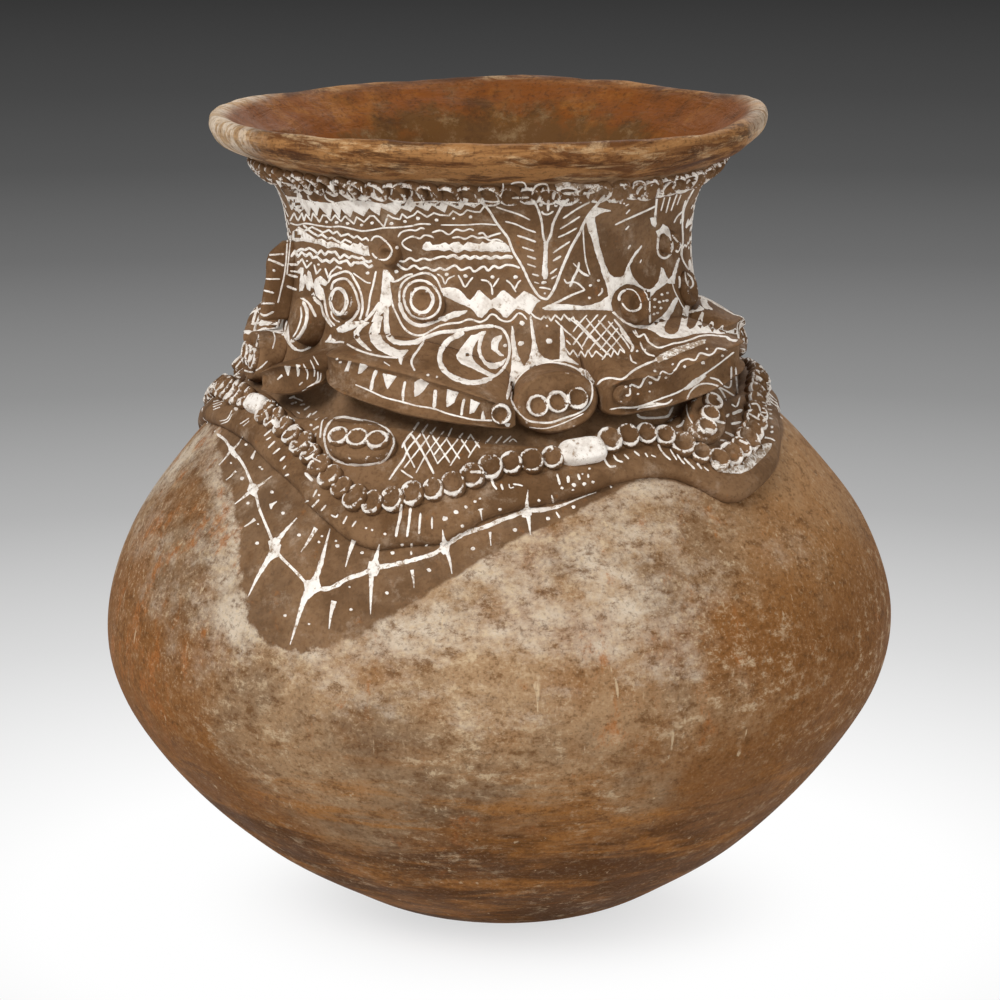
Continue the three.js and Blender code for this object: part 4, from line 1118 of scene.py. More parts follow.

# white lime painting, read off the picture frame of 1000 x 1000
# lines and zigzags: (width, x, y, x, y, ...); spikes run to a point; dots: (size, x, y); areas: (cover, x, y, ...)
collarMarks = dict(areas=[
    (0.95, 286,196, 296,197, 310,201, 330,203, 350,200, 370,201, 385,204, 400,200.5, 412,202, 432,200.5, 452,201.5,
     470,202.5, 481.5,203, 474,208, 465,204.5, 461,210, 448,205, 445,213, 432,205.5, 428,211.5, 416,206, 411,212,
     401,208.5, 395.5,215, 381,207.5, 379.5,216, 369,208.5, 364,216.5, 353,211, 350.5,218, 341,209.5, 340,219,
     332,208.5, 330.5,219, 319.5,207.5, 317,217, 311,207.5, 309.5,217.5, 304,209, 299,214, 294,206.5, 292,211, 288,203),
    (0.95, 274.5,179.4, 284.7,182.4, 295,184.5, 298,192.7, 304,203, 302,206, 296,212, 290,204, 283.7,193.7),
    (0.78, 292,232, 297,228, 304,231, 310,235, 316,239, 322,238.5, 327,242, 331,241, 340,244.5, 343,242.5, 350,245.5,
     353,242.5, 358,244.5, 360,242, 365,245.5, 368,246, 370,256, 364,256, 358,254, 350,251, 342,249, 335,247, 328,248.5,
     320,244.5, 312,243, 303,241, 296,242, 292,240),
    (0.9, 423,245, 426,241.5, 430,241.5, 433,245, 440,244, 445,242, 449,244.5, 454,242, 459,242, 463,245.5, 468,241.5,
     473,243, 480,244, 482,241.5, 487,243.5, 492,241, 499,241.5, 505,243, 509,246, 511,251.5, 503,252.5, 497,251,
     492,252, 486,251, 481,252, 476,250.5, 470,251.5, 464,250, 460,252.5, 456,253, 450,250, 444,251.5, 438,250,
     431,250.5, 426,251, 422,249),
    (0.5, 555,184, 565,182, 580,184, 598,184, 602,188, 596,193, 580,196, 565,195, 556,190),
], zigzags=[
    (2, 290,221, 294,213, 298,221, 302,213, 304,221, 306,214, 311,221, 313,213, 319.5,222, 323,215, 327,216, 331,221,
     335,215, 341,221.5, 345,216, 354,224, 356.5,217, 364,222, 370,216, 374,216, 384,227, 388,215, 393,218, 400,219.5,
     402,214, 407,218, 414,215, 417.5,211, 427,217, 434,213, 440,215, 449,215.5, 453,211, 460,215, 463,214, 467,210,
     475,212, 480,212, 484.5,206),
    (2.3, 303,225, 308,229, 312,227, 318,230, 323,232.5, 329,230, 333,233.5, 337,231.5, 341,236, 348,234, 354,238,
     357,236, 362,240, 366,238, 369,241),
    (2.6, 298,227, 304,231, 308,229.5, 312,232.5, 318,236, 322,234.5, 328,239, 332,237.5, 336,240.5, 341,243, 345,239.5,
     352,243),
    (2.9, 296,252, 301,249, 305,250, 309,248, 314,250.5, 317.5,254, 321,250.5, 325,255, 328,251.5, 332,252.5, 335,251.5,
     340,258.5, 344,254.5, 349,258, 352,256, 359,258.5, 362,257.5, 365,261, 369,262, 372,260.5),
    (3.1, 291,257, 295,251, 298,257, 301.5,252, 306,256, 309.5,253, 313,258, 317,256.5, 322,261.5, 326,260, 330,262.5,
     334,258.5, 339,263, 343,261.5, 347,260.5, 351,266, 354,262.5, 359,263, 363,262.5, 369,267.5, 373,265),
    (2.2, 290,265, 297,265, 302,259, 306.5,268, 312,262), (2, 314,264.5, 316.5,274, 321,268.5),
    (2.2, 325,268, 328.5,278, 331,272, 337,266.5, 342,269),
    (3.6, 298,273, 302,268, 301,291, 305,276, 309,290, 309,272, 313,288),
], lines=[
    (1.9, 290,223, 297,225, 305,223.5, 318,225.5, 330,227, 340,226.5, 350,228.5, 362,231, 372,230, 383,228, 397,227.5,
     411,226, 420,224, 431,224.3),
    (1.6, 441,225, 465,225, 482,224, 497,225),
    (2.3, 372,253, 375,257, 380,259.5, 386,259.5, 390,256, 392,250.5, 389,245, 384,240, 379,236.5, 374,237, 371,241),
    (2.1, 398,237, 401,232.5, 410,230, 416,230.5, 421,228, 425,229),
    (2.1, 432,232.5, 441,230.5, 449,234.5, 456,229.5, 463,231, 470,229, 474,230.5),
    (2.2, 478,234, 483,233, 487,237, 492,235.5, 501,233),
    (2.1, 412,251, 405,247.5, 402,243, 406,239, 413,236.5, 420,238.5, 424,235.5, 430,236, 434,238),
    (2.2, 452,238, 459,237, 465,239, 472,236, 478,238, 484,237.5, 490,240.5, 497,239.5, 503,242),
    (2.4, 399,261, 404,261.5, 410,258, 416,261, 423,258.5, 430,260, 438,257.5, 444,256.5, 449,258.5),
    (3.4, 446,258, 454,255.5, 459,258.5, 465,256, 470,258.5, 475,256.5, 480,258.5, 485,256.5, 491,258.5, 496,256.5,
     501,258, 506,256.5, 513,257.5),
    (2.7, 397,264, 402,268, 407,269.5, 414,265.5, 420,269, 426,267.5, 434,270.5, 440,268, 445,270, 455,265.5, 461,270,
     470,267.5, 474,271.5, 484,266.5, 488,270.5, 494,266, 499,268, 506,265, 513,265.5, 520,268),
    (2.4, 300,183.5, 298,190.6, 302,197.8), (2, 311,182.4, 307,192.7, 311,200.8, 320.4,203.9),
    (2, 322.4,188.6, 326.5,198.8, 334.7,202.9), (4, 331,181, 333,192), (2.4, 347,194.7, 351,184.5, 357,182.4),
    (2, 361,186.5, 363,196.7, 371.4,200.8), (2, 373.5,186.5, 375.5,196.7, 383.7,200.8),
    (2.2, 391,195, 393,187, 399,184, 407,185, 412,192, 411,197), (2, 416,194, 418,188, 424,187, 430,190, 432,197),
    (1.6, 500,197, 503,190, 503,183), (2, 511,184, 516,182.5, 524,183, 527,190),
    (2.2, 532,195, 535,187, 541,184, 547,185, 549,193), (1.8, 484,201, 494,202, 503,200.5), (2, 512,198, 529,197.5),
    (4, 625,189, 625.5,184), (1.8, 633,189, 634,183, 640,181, 645,183), (3, 645,190, 646,184),
    (2, 651,186, 655,181, 659,185),
], dots=[
    (1.6, 326.5,222), (1.7, 336.5,222.5), (1.8, 347.5,223.5), (1.6, 361.5,225), (1.8, 372,223), (1.8, 391.5,223.5),
    (1.8, 405,221.5), (2, 418,218.5), (1.8, 436.5,220), (1.4, 453.5,218.5), (1.8, 470.5,217), (1.3, 318.5,264.5),
    (1.8, 397,247.5), (2, 396.5,271.5), (1.8, 367.5,273), (1.2, 298,262), (1.2, 307,261),
])
eyeMarks = dict(areas=[
    (0.95, 315,279, 320,275.5, 325,279, 328,283, 326,286, 320,284.5, 323,290, 324,300, 320,300, 316,296, 314,289,
     313,285),
    (0.95, 311,294, 314,292, 317,299, 322,303, 320,306, 314,301),
    (0.8, 340,326, 349,322, 357,321, 362,320, 366,321, 359,326, 351,330, 343,333, 338,332, 336,329),
    (0.85, 383,269, 388,270, 395,280, 390,282, 392,297, 391,305, 388,308, 384,312, 380,316, 377,322, 371,322, 374,315,
     379,305, 381,292, 382,281),
    (0.9, 442,288, 450,287, 458,288.5, 463,293, 467,298, 470,300, 474,296, 477,291, 480,290, 485,295, 491,300, 496,297,
     500,292, 504,290, 509,294, 515,299, 519,295, 524,291, 529,293, 536,297, 541,301, 537,303, 534,308, 532,313,
     529,315, 525,311, 520,309.5, 516,309, 512,313, 507,318, 503,317, 500,313, 494,308, 490,309, 487,313, 482,318,
     478,317, 474,312, 470,308, 460,304, 450,299, 443,296),
    (0.95, 440,320, 447,314, 455,311, 462,310.5, 469,310, 466,313, 458,317, 450,319, 445,322),
    (0.85, 323,343, 327,339.5, 331,333, 332,338, 336,340, 334,343.5, 328,342.5),
], lines=[
    (2.4, 322,288, 324,297, 326,310, 329,319, 335,326), (2.6, 316,302, 321,305, 323,313, 327,320, 332,327),
    (2.7, 328,283, 331,277, 337,274, 345,271.5, 350,273, 354,279, 358,286, 361,294, 362.5,303, 362,312, 359.5,320),
    (2.9, 331,290, 333,283, 338,279.5, 346,279, 351,284, 355,291, 357.5,299, 359,306, 357,313, 352,319.5, 345,324),
    (3.9, 330,301, 332,294, 335,289.5, 339,288.5, 343,291, 346,297, 346.5,303, 344,310, 340,314.5, 336,313, 332,308,
     330,301),
    (1.8, 331,311, 332,316, 336,320.5, 340,322), (2.4, 376,271, 373,285, 370,297, 368.5,308, 366,317),
    (3.4, 365,321, 373,312, 380,302), (1.8, 353,273, 360,278, 367,282.5, 371,283),
    (3.6, 411,298, 413,292, 418,288.5, 425,288, 430,292, 433,299, 431,306, 427,311, 420,312.5, 414,309, 411,303,
     411,298),
    (3, 403.5,298, 405,290, 410,283.5, 418,280.5, 426,281.5, 433,286, 438,292.5, 440.5,300, 439.5,308, 435,314.5,
     427,318.5, 419,318.5, 411,314, 406,307, 403.5,298),
    (2.5, 388,276, 393,281.5, 399,280, 406,275.5, 413,274),
    (2.5, 399.5,302, 399.5,292, 402,284, 408,278.5, 416,275, 424,273, 432,275, 437,280, 440,286.5, 443,293),
    (4, 399.5,302, 402,311, 407,319, 414,324, 422,325.5, 431,323, 440,319, 449,316.5),
    (1.8, 437,274, 442,277, 445,284, 448,279, 455,275.5), (2.4, 458,275, 461,280, 465,287, 469,282, 473,277),
    (2.2, 481,280, 487,281, 491,285, 492.5,295), (2.2, 493,287, 497,281, 499,278), (2, 506,280, 511,284, 516,292),
    (2, 515,289, 518,283, 521,280),
], dots=[
    (2, 446.5,274.5), (2, 465.5,276), (2, 492.5,277), (2.2, 515.5,277),
])
swirlMarks = dict(areas=[
    (0.9, 364,322, 357,327, 353.5,332, 354,338, 360,345, 367,350, 374,352.5, 365,344, 360,338, 359,333, 363,328,
     371,322),
    (0.92, 378,316, 371,325, 368.5,333, 371,342, 377,349, 385,353.5, 393,357, 399,358, 404,356, 408,351, 413,347,
     407,349.5, 399,350, 390,346, 383,340, 380,333, 381,325, 383,316),
    (0.95, 384,306, 383.5,320, 384,331, 387,339, 393,344, 401,345.5, 411,345, 418,344.5, 428,338, 424,335.5, 415,339.5,
     404,341, 395,339, 390.5,333, 389,322, 389,308),
    (0.95, 471,335, 477,334, 481,331, 480,338, 476,343, 473,349, 472,356, 475,362, 481,367, 486,370, 492,373, 497,375,
     490,377, 481,373, 471,368, 461,364, 457,359, 456,355, 460,349, 466,341),
    (0.95, 481,331, 487,331, 483,338, 481,347, 482,355, 487,362, 494,363, 501,361, 508,357, 503,365, 496,369, 490,369,
     484,364, 479,357, 477,350, 478,342),
    (0.95, 497,336, 502,335, 502,338, 499,343, 498,349, 501,353, 506,356, 501,356.5, 495,352, 491,349, 491,342,
     493,338),
    (0.9, 398,356, 404,356, 402,362, 401.5,367, 398.5,361),
], lines=[
    (2.3, 391,298, 393,306, 398,317, 402,325, 407,331, 415,335, 423,335, 432,330, 441,325.5, 450,323.5, 460,322.5,
     468,319.5, 473,320, 480,322, 486,319.5, 491,314.5, 495,315, 500,319.5, 506,321.5, 511,320.5, 518,313),
    (4, 424,338, 440,332.5, 455,331, 470,328.5, 483,326.5, 494,326),
    (3, 494,326, 502,329, 507,336, 509.5,346, 509,356, 505,366, 498,374, 489,379),
    (5.6, 492,378, 479,382, 470,382.5, 460,380, 451,376, 444,370, 440,362, 440,354, 443,347, 449,340, 456,336, 464,332),
    (2.6, 424,341, 418,350, 413,357, 411.5,363, 415,371),
    (2.2, 333.7,342.6, 342,342, 356,349, 367.3,353.2, 384,356.7, 398,357.6), (1.6, 384,362, 390,366),
], dots=[
    (1.9, 505,345.5), (1.5, 428,375), (1.2, 437,377),
])
foreheadMarks = dict(areas=[
    (0.95, 542.5,264, 547,264, 548.5,274, 547,279, 544,279.5, 541.5,275),
    (0.9, 541,282, 543,281, 546,281, 547,283, 544,284.5, 541,284),
], lines=[
    (2.8, 483,203, 490,212, 496,222, 502,230, 508,238, 511,246, 514,253, 519,261, 524,270, 528,279, 533,288, 540,297,
     547,299.5),
    (3.2, 604,196, 596,206, 590,213, 584,223, 580,232, 572,246, 566,259, 561,271, 557,282, 553,291, 549,297, 546,300),
    (2.5, 531,199, 536,205, 540,215, 542,224, 543,235, 545,242),
    (2.9, 569,199, 563,204, 558,213, 553,224, 551,234, 547,243), (4.4, 546,241, 545.5,255, 545,267),
    (2, 539,287.5, 545,288, 551,289.5), (3, 548.5,200, 548,211),
    (2.2, 541.5,211, 543,213.5, 547,214.5, 551,213, 553.5,211), (1.9, 496,207, 505,210, 520,215, 530,220),
    (1.9, 505,221.5, 515,224, 526,229, 536,232.5), (2.3, 517,235.5, 525,238, 536,242), (2, 522,247, 534,251),
    (2.4, 527,256, 536,259), (1.8, 527,264, 536,267), (2, 532,274, 539,276), (1.4, 534,282, 539,283.5),
    (2.1, 590,202, 577,209, 563,218.5), (2, 580,216.5, 570,223, 560,229), (2, 577,228, 566,234, 558,237.5),
    (2, 570,241.5, 561,247.5, 553,253), (2.6, 561,256, 553,261), (2, 557,268.5, 550,274), (2, 557,275.5, 551,279),
    (1.8, 583,225, 584,245, 586,262, 590,275), (2.6, 589,276, 584,274, 580,271, 577,267),
    (2.8, 579,262, 578,269, 573,279, 570,287), (1.6, 573,263, 577,267),
    (2, 564,279, 567,283, 572,282, 577,283, 585,290), (2.4, 585,290, 572,295, 560,301, 551,305),
    (2.4, 602,288, 602,292, 598,296),
], dots=[
    (1.8, 541,205), (1.8, 556,205.5), (1.2, 545,293.5), (1.5, 598.5,280.5), (1.5, 590.5,285.5), (1.5, 589.5,298),
])
starMarks = dict(areas=[
    (0.9, 587,216, 591,212, 595,217, 596,225, 598,235, 600,247, 603,257, 606,266, 610,274, 614,277, 620,277, 624,275,
     625,271, 627,266, 631,258, 635,252, 640,246.5, 643,244, 642,247, 637,254, 633,260, 630,266, 631,272, 634,278,
     639,284, 644,288, 649,289.5, 654,287, 658,281, 660,274, 661,267, 664,269, 666,275, 669,279, 672,275, 675,266,
     677,260, 679,257, 680,259, 678,266, 676,275, 675,284, 670,284, 667,283, 662,287, 656,291, 651,297, 648,302,
     646,295, 641,288.5, 634,285, 627,284, 620,287, 615,292, 612,298, 611.5,304, 613,311, 606,310.5, 590,310, 570,310,
     552,310.5, 545,310, 541,308.5, 548,304.5, 556,304, 567,304, 583,306, 593,304, 601,301, 608,296, 607,288, 605,282,
     602,274, 600,266, 597,258, 594,248, 592,240, 588,230, 586,222),
    (0.92, 650,325, 656,320, 662,316, 668,309, 672,301, 676,297, 679,298, 677,303, 673,312, 668,320, 664,327, 665,331,
     669,334, 674,334, 678,331, 680,325, 682,315, 683,309, 686,305, 690,306, 689,311, 688,318, 687,326, 690,329,
     694,327, 697,322, 700,315, 702,311.5, 704,313, 703,319, 702,325, 704,327, 709,324, 712,321, 714,322, 713.5,327,
     716,330, 719,328, 722,325, 724,325, 723,329.5, 728,331, 733,329, 735,327.5, 737,330, 740,333, 738,334.5, 730,333.5,
     720,334, 710,333, 700,333.5, 692,334.5, 685,337, 678,338, 668,338.5, 661,337, 655,333, 648,329, 640,328.5, 632,327,
     624,323, 617,317, 611,312, 614,311, 620,317, 627,322, 635,325, 643,325.5),
    (0.8, 594,206, 601,208, 610,210, 617,211, 606,212, 600,214, 595,217, 591,214),
    (0.85, 656,231, 660,228, 663,224, 667,226, 670,231, 671,237, 668,237, 664,233.5, 660,234, 657.5,237),
    (0.9, 650,218, 656,217, 657,224, 655,228, 651,224),
], lines=[
    (2.4, 650,298, 650,312, 650,323), (3, 619.5,301, 619,297, 622,292, 626,290),
    (1.4, 626,289, 633,290, 638,295, 641,302), (2.4, 622,303, 624,306, 628,310, 634,311, 640,308, 641,303),
    (2.6, 659,188, 657,198, 656,208, 655,218, 653,226), (2.2, 656,206, 650,209, 640,213.5, 630,218, 621,222, 615,225),
    (2.2, 605,195, 600,200, 595,207), (1.8, 625.5,206, 629,204), (1.8, 626,214, 630,209.5), (2, 625.5,230, 629,226),
    (2.2, 628,249, 630.5,245), (2, 640,263, 641.5,259.5),
    (2.6, 657.5,250, 658,242, 659,235, 663,231.5, 668,234, 671,240, 672.5,247, 671,253, 667,257.5, 663,258, 659,255,
     657.5,250),
    (2, 672,235, 677,241, 681,245, 681,256),
    (2, 686,200, 683,210, 682.5,225, 683,240, 682,250, 682,257, 685,264, 690,271),
    (1.8, 694,189, 688,200, 684,210, 683,222), (1.8, 684,210, 677,217, 674,223), (1.6, 665,196, 661,211),
    (1.6, 671,194, 666,213), (1.6, 677,194, 671,211), (1.5, 682,192, 677,205), (1.6, 681,219, 680.5,224),
    (2.4, 679,276, 680,283, 679,288), (2, 685,272, 686,280, 690,288, 693,285, 692,279, 687,273),
    (2, 635,330, 639,337, 644,334, 648,341, 653,345, 658,347.5, 666,346, 673,343.5, 682,342, 692,339, 700,336, 710,335,
     720,336, 727,337, 732,340, 738,340),
    (3, 726,337, 731,340, 737,341),
], dots=[
    (1, 609.5,202), (1, 612.5,202), (1.1, 616,201.5), (1, 620.5,203), (1, 624,203.5), (1.6, 655,299.5),
    (1.5, 662,294.5), (1.4, 667.5,293), (1.6, 659.5,302), (1.2, 663.5,301), (1.6, 667,300.5), (1.5, 654.5,307),
    (1.5, 661,308), (1.4, 654,314), (1.4, 657.5,313),
])
hatchMarks = dict(areas=[
    (0.78, 512,322, 514,330, 516,345, 519,357, 524,366, 529,359, 531,350, 532,340, 530,325, 529.5,315, 532,316,
     533.5,327, 536,342, 539,352, 544,357.5, 552,360, 559.5,359, 560,345, 560,326, 563,328, 565,340, 565.5,350, 568,356,
     575,361, 581,366.5, 575,364, 565,361.5, 555,361.5, 545,363, 535,366, 527,370, 518,376, 513,384, 510,394, 507,402,
     506,396, 509,382, 511,368, 512,352, 510.5,338),
], zigzags=[
    (2, 531,313, 535,317, 541,319.5, 544,316, 546,318, 548,316, 551,321, 555,315, 561,320, 564,314.5, 570,321, 573,317,
     577,324),
    (1.8, 565,348, 570,355, 573,350, 578,357, 581,351, 585,357, 588,350, 592,357, 596,351, 604,358, 607,352, 611,357,
     614,350, 618,355, 620,349, 625,353),
    (2, 633,331, 638,337, 644,334, 649,341),
], lines=[
    (2, 518,313, 522,314, 527,319.5), (2, 555,320, 560,325), (1.9, 560,325, 566,331, 573,337, 580,345, 583,350),
    (2, 568,318, 577,324, 588,335, 597,344, 607,353), (1.8, 576,320, 594,339, 608,355),
    (1.8, 586,318, 600,335, 616,352), (1.8, 598,320, 614,338, 625,352), (1.8, 608,321, 625,341, 630,349),
    (2.4, 614,319, 622,329, 629,339, 633,348), (1.8, 587,315, 578,325, 573,332),
    (2, 598,314.5, 588,326, 578,338, 573,345), (2, 606,315, 597,326, 588,337, 582,347),
    (1.8, 613,322, 603,334, 594,344, 588,352), (1.8, 618,328, 608,340, 600,350),
    (1.8, 624,332, 615,343, 606,354, 602,360), (3, 620,328, 627,339, 633,347, 631,352), (2, 566,340, 571,345),
    (2, 640,342, 643,349, 648,354, 655,356), (2, 630,355, 632,361, 637,363.5),
    (2.6, 419,422, 412,432, 404,443, 402,448), (2.2, 428,424, 420,435, 409,448, 403,460, 397,468, 389,480),
    (1.8, 436,427, 419,449, 404,468), (1.6, 444,431, 426,455, 416,473), (1.8, 452,428, 447,438, 440,447, 434,455),
    (1.8, 463,433, 445,455, 437,464), (1.8, 471,434, 463,446, 450,466), (1.8, 480,440, 473,450, 468,458),
    (2, 404,443, 406,450, 411,460, 415,468), (2.6, 411,434, 418,444, 429,464, 434,474),
    (1.6, 422,432, 434,456, 438,464), (2, 430,432, 445,455, 450,463), (1.8, 446,438, 457,455, 460,459),
    (2, 459,436, 471,454), (2, 470,434, 480,448), (2, 401,470, 408,475, 413,478), (1.8, 485,444, 492,436),
    (1.8, 495,444, 502,436), (1.8, 503,443, 511,436), (1.6, 509,442, 513,439, 517,442),
], dots=[
    (2.6, 522,323), (2.8, 521,343.5), (3.2, 549,341), (1.2, 547,326), (1.3, 645,350), (1.3, 637,351),
])
jawMarks = dict(areas=[
    (0.95, 348.4,360.9, 351.9,360.2, 348.4,371.4, 344.2,371.4),
    (0.95, 359.6,362.3, 368.8,365.8, 361.7,373.5, 357.8,374.2), (0.95, 382.1,372.8, 396.8,376.3, 387,390.3),
    (0.95, 414.4,381.9, 420.7,378.4, 429.1,383.3, 422.1,393.1, 414.4,397.3, 413.9,391.7),
    (0.95, 447.3,388.9, 458.5,392.4, 454.3,403, 446.6,407.9, 445.9,400.2),
    (0.95, 470.5,398.8, 480.3,403, 474,412.8, 469.1,414.2), (0.95, 480,420, 483,409, 486,420),
    (0.55, 578.7,367.6, 586.8,369.8, 594.8,381.3, 593.1,385.9, 587.9,380.2, 581,374.4),
    (0.85, 681.8,390.3, 692.7,380, 703.6,373.9, 707.2,375.7, 698.8,383.6, 687.9,389.7),
    (0.46, 655,358, 664,352, 676,347, 690,343, 704,339, 706,343, 694,348, 680,353, 668,359, 658,363),
    (0.95, 284.1,365.9, 291.1,365.2, 288.6,377.4, 286.7,374.2),
    (0.95, 295.6,364, 300.7,364.6, 299.4,374.2, 297.5,379.3), (0.9, 281.6,373.5, 282.8,376.7, 277.7,380.6, 276.5,379.3),
    (0.9, 504,423, 511,423, 509,427, 506.5,427),
], lines=[
    (3.4, 376.5,370, 373,379, 370.9,390.3), (3, 405.2,381.2, 403.1,391.7, 403.1,401.6),
    (3.8, 435.4,389.6, 434.7,400.2, 434,407.9), (3, 464.2,398.8, 462.1,408.6, 461.4,415.6),
    (1.8, 355.4,384.7, 368.8,390.3, 384.2,397.3, 401,401.6, 416.5,405.8, 433.3,408.6, 447.3,413.5, 461.4,417,
     475.4,419.8, 493.6,420.5),
    (2.2, 511.1,399.4, 513.3,386.2, 519.8,376.4, 529.5,368.8, 542.5,363.8, 555.6,362.7, 570.7,366, 581.6,372,
     590.3,380.8, 592.4,388.4, 591.3,399.4, 585.9,408.2, 577.2,413.7, 564.3,418, 551.2,422.4, 538.2,422.4, 527.3,420.2,
     519.8,413.7, 514.2,406.4, 511.1,399.4),
    (1.4, 529.4,427.2, 544.3,428.5, 558.1,425, 571.8,419.2, 583.3,413.5),
    (2.4, 597,384.8, 601.7,380.2, 609.7,377.9, 622.3,379, 632.7,371, 643,365.3, 660,358.4, 676,350, 692,344, 706,340),
    (1.9, 609.7,409.5, 620.1,407.7, 635.8,407.2, 662.4,398.1, 680.6,390.9, 704.8,373.9, 716.9,365.4, 733.9,352.1),
    (2, 638.2,408.2, 656.4,405.4, 668.5,403, 672.1,399.4),
    (2.3, 625.5,395.7, 629.7,394.5, 630.9,384.8, 639.4,387.2, 645.4,377.5, 649.1,376.3, 657.6,380, 661.8,371.5,
     669.7,373.9, 675.7,369.1, 680.6,361.8, 687.9,358.8, 695.1,360, 700,353.3, 709.7,355.1, 714.5,352.1, 716.9,348.5,
     727.2,350.3),
    (1.8, 303.2,364, 307.7,372.9, 307.1,379.3), (1.6, 310.3,360.1, 314.7,370.3, 314.1,376.7),
    (1.5, 313.5,356.3, 318.6,365.2), (1.8, 317.9,371.6, 317.3,380.6, 310.9,385.7, 302,390.8),
    (1.6, 321,372.9, 319.8,380.6, 314.7,383.8), (1.6, 299.4,385, 302.6,381.8),
    (1.8, 243,370, 252,372, 260,368, 267.5,361), (2.2, 258.6,334.6, 256,347.4, 252.2,357.6),
    (1.6, 273,331, 275,338, 272.6,349), (2, 235.6,367.8, 243.3,357.6), (2, 236.3,376.7, 240.7,377.4),
], dots=[
    (1.4, 337.2,359), (1.4, 340.3,362.3), (1.8, 650.3,383), (1.8, 684.8,366.6), (2, 703,362.8), (1.4, 722.4,355.7),
    (1.4, 666,377.5), (1.2, 672.7,364.2), (1.4, 655,371), (1.6, 626,386.6), (1.2, 638,394), (1, 649.7,391.5),
    (1.2, 707,349),
])
# the nose flange and cheek at the left
flankMarks = dict(lines=[
    (1.8, 288,230, 287,247, 286,262, 284,277, 281,290, 278,303), (1.5, 291,235, 289.5,250, 288,265, 287,275),
    (2.2, 261,255.5, 284,254), (2.8, 262.4,257.4, 273,261, 284,265.7), (2, 260,277.8, 269,279, 280,279),
    (2.2, 260,289.3, 274,293), (2, 260,303.4, 274.5,303.4), (2.4, 257,310.4, 264,315.5, 274,311.7),
    (2.4, 251,324, 264,321.9), (3, 260.5,257.4, 260,278.5, 259.4,291.2, 257,306.6, 252.6,323),
    (2.5, 289,264, 297,264.5), (2.4, 290,271, 299.4,272.1), (2.8, 288,274.7, 298,277.2), (2.8, 286.7,286, 296.9,290),
    (3.6, 284.7,330.8, 286.7,338.5, 293,347.4, 297,350), (2, 286.7,320.6, 284.7,330.8),
    (3.8, 303,301.5, 307,311.7, 305,325.7, 297,338.5, 290,341.5), (2, 300.7,306.6, 301.3,316.8, 296.9,330.8, 293,337),
    (2.2, 293,348.7, 302,350.6, 311,346.7), (3.2, 299.4,297.6, 307,301.5, 316,316.8),
], dots=[
    (1.4, 264,251.7), (1.4, 268.8,251.7), (1.5, 274,270.6),
])
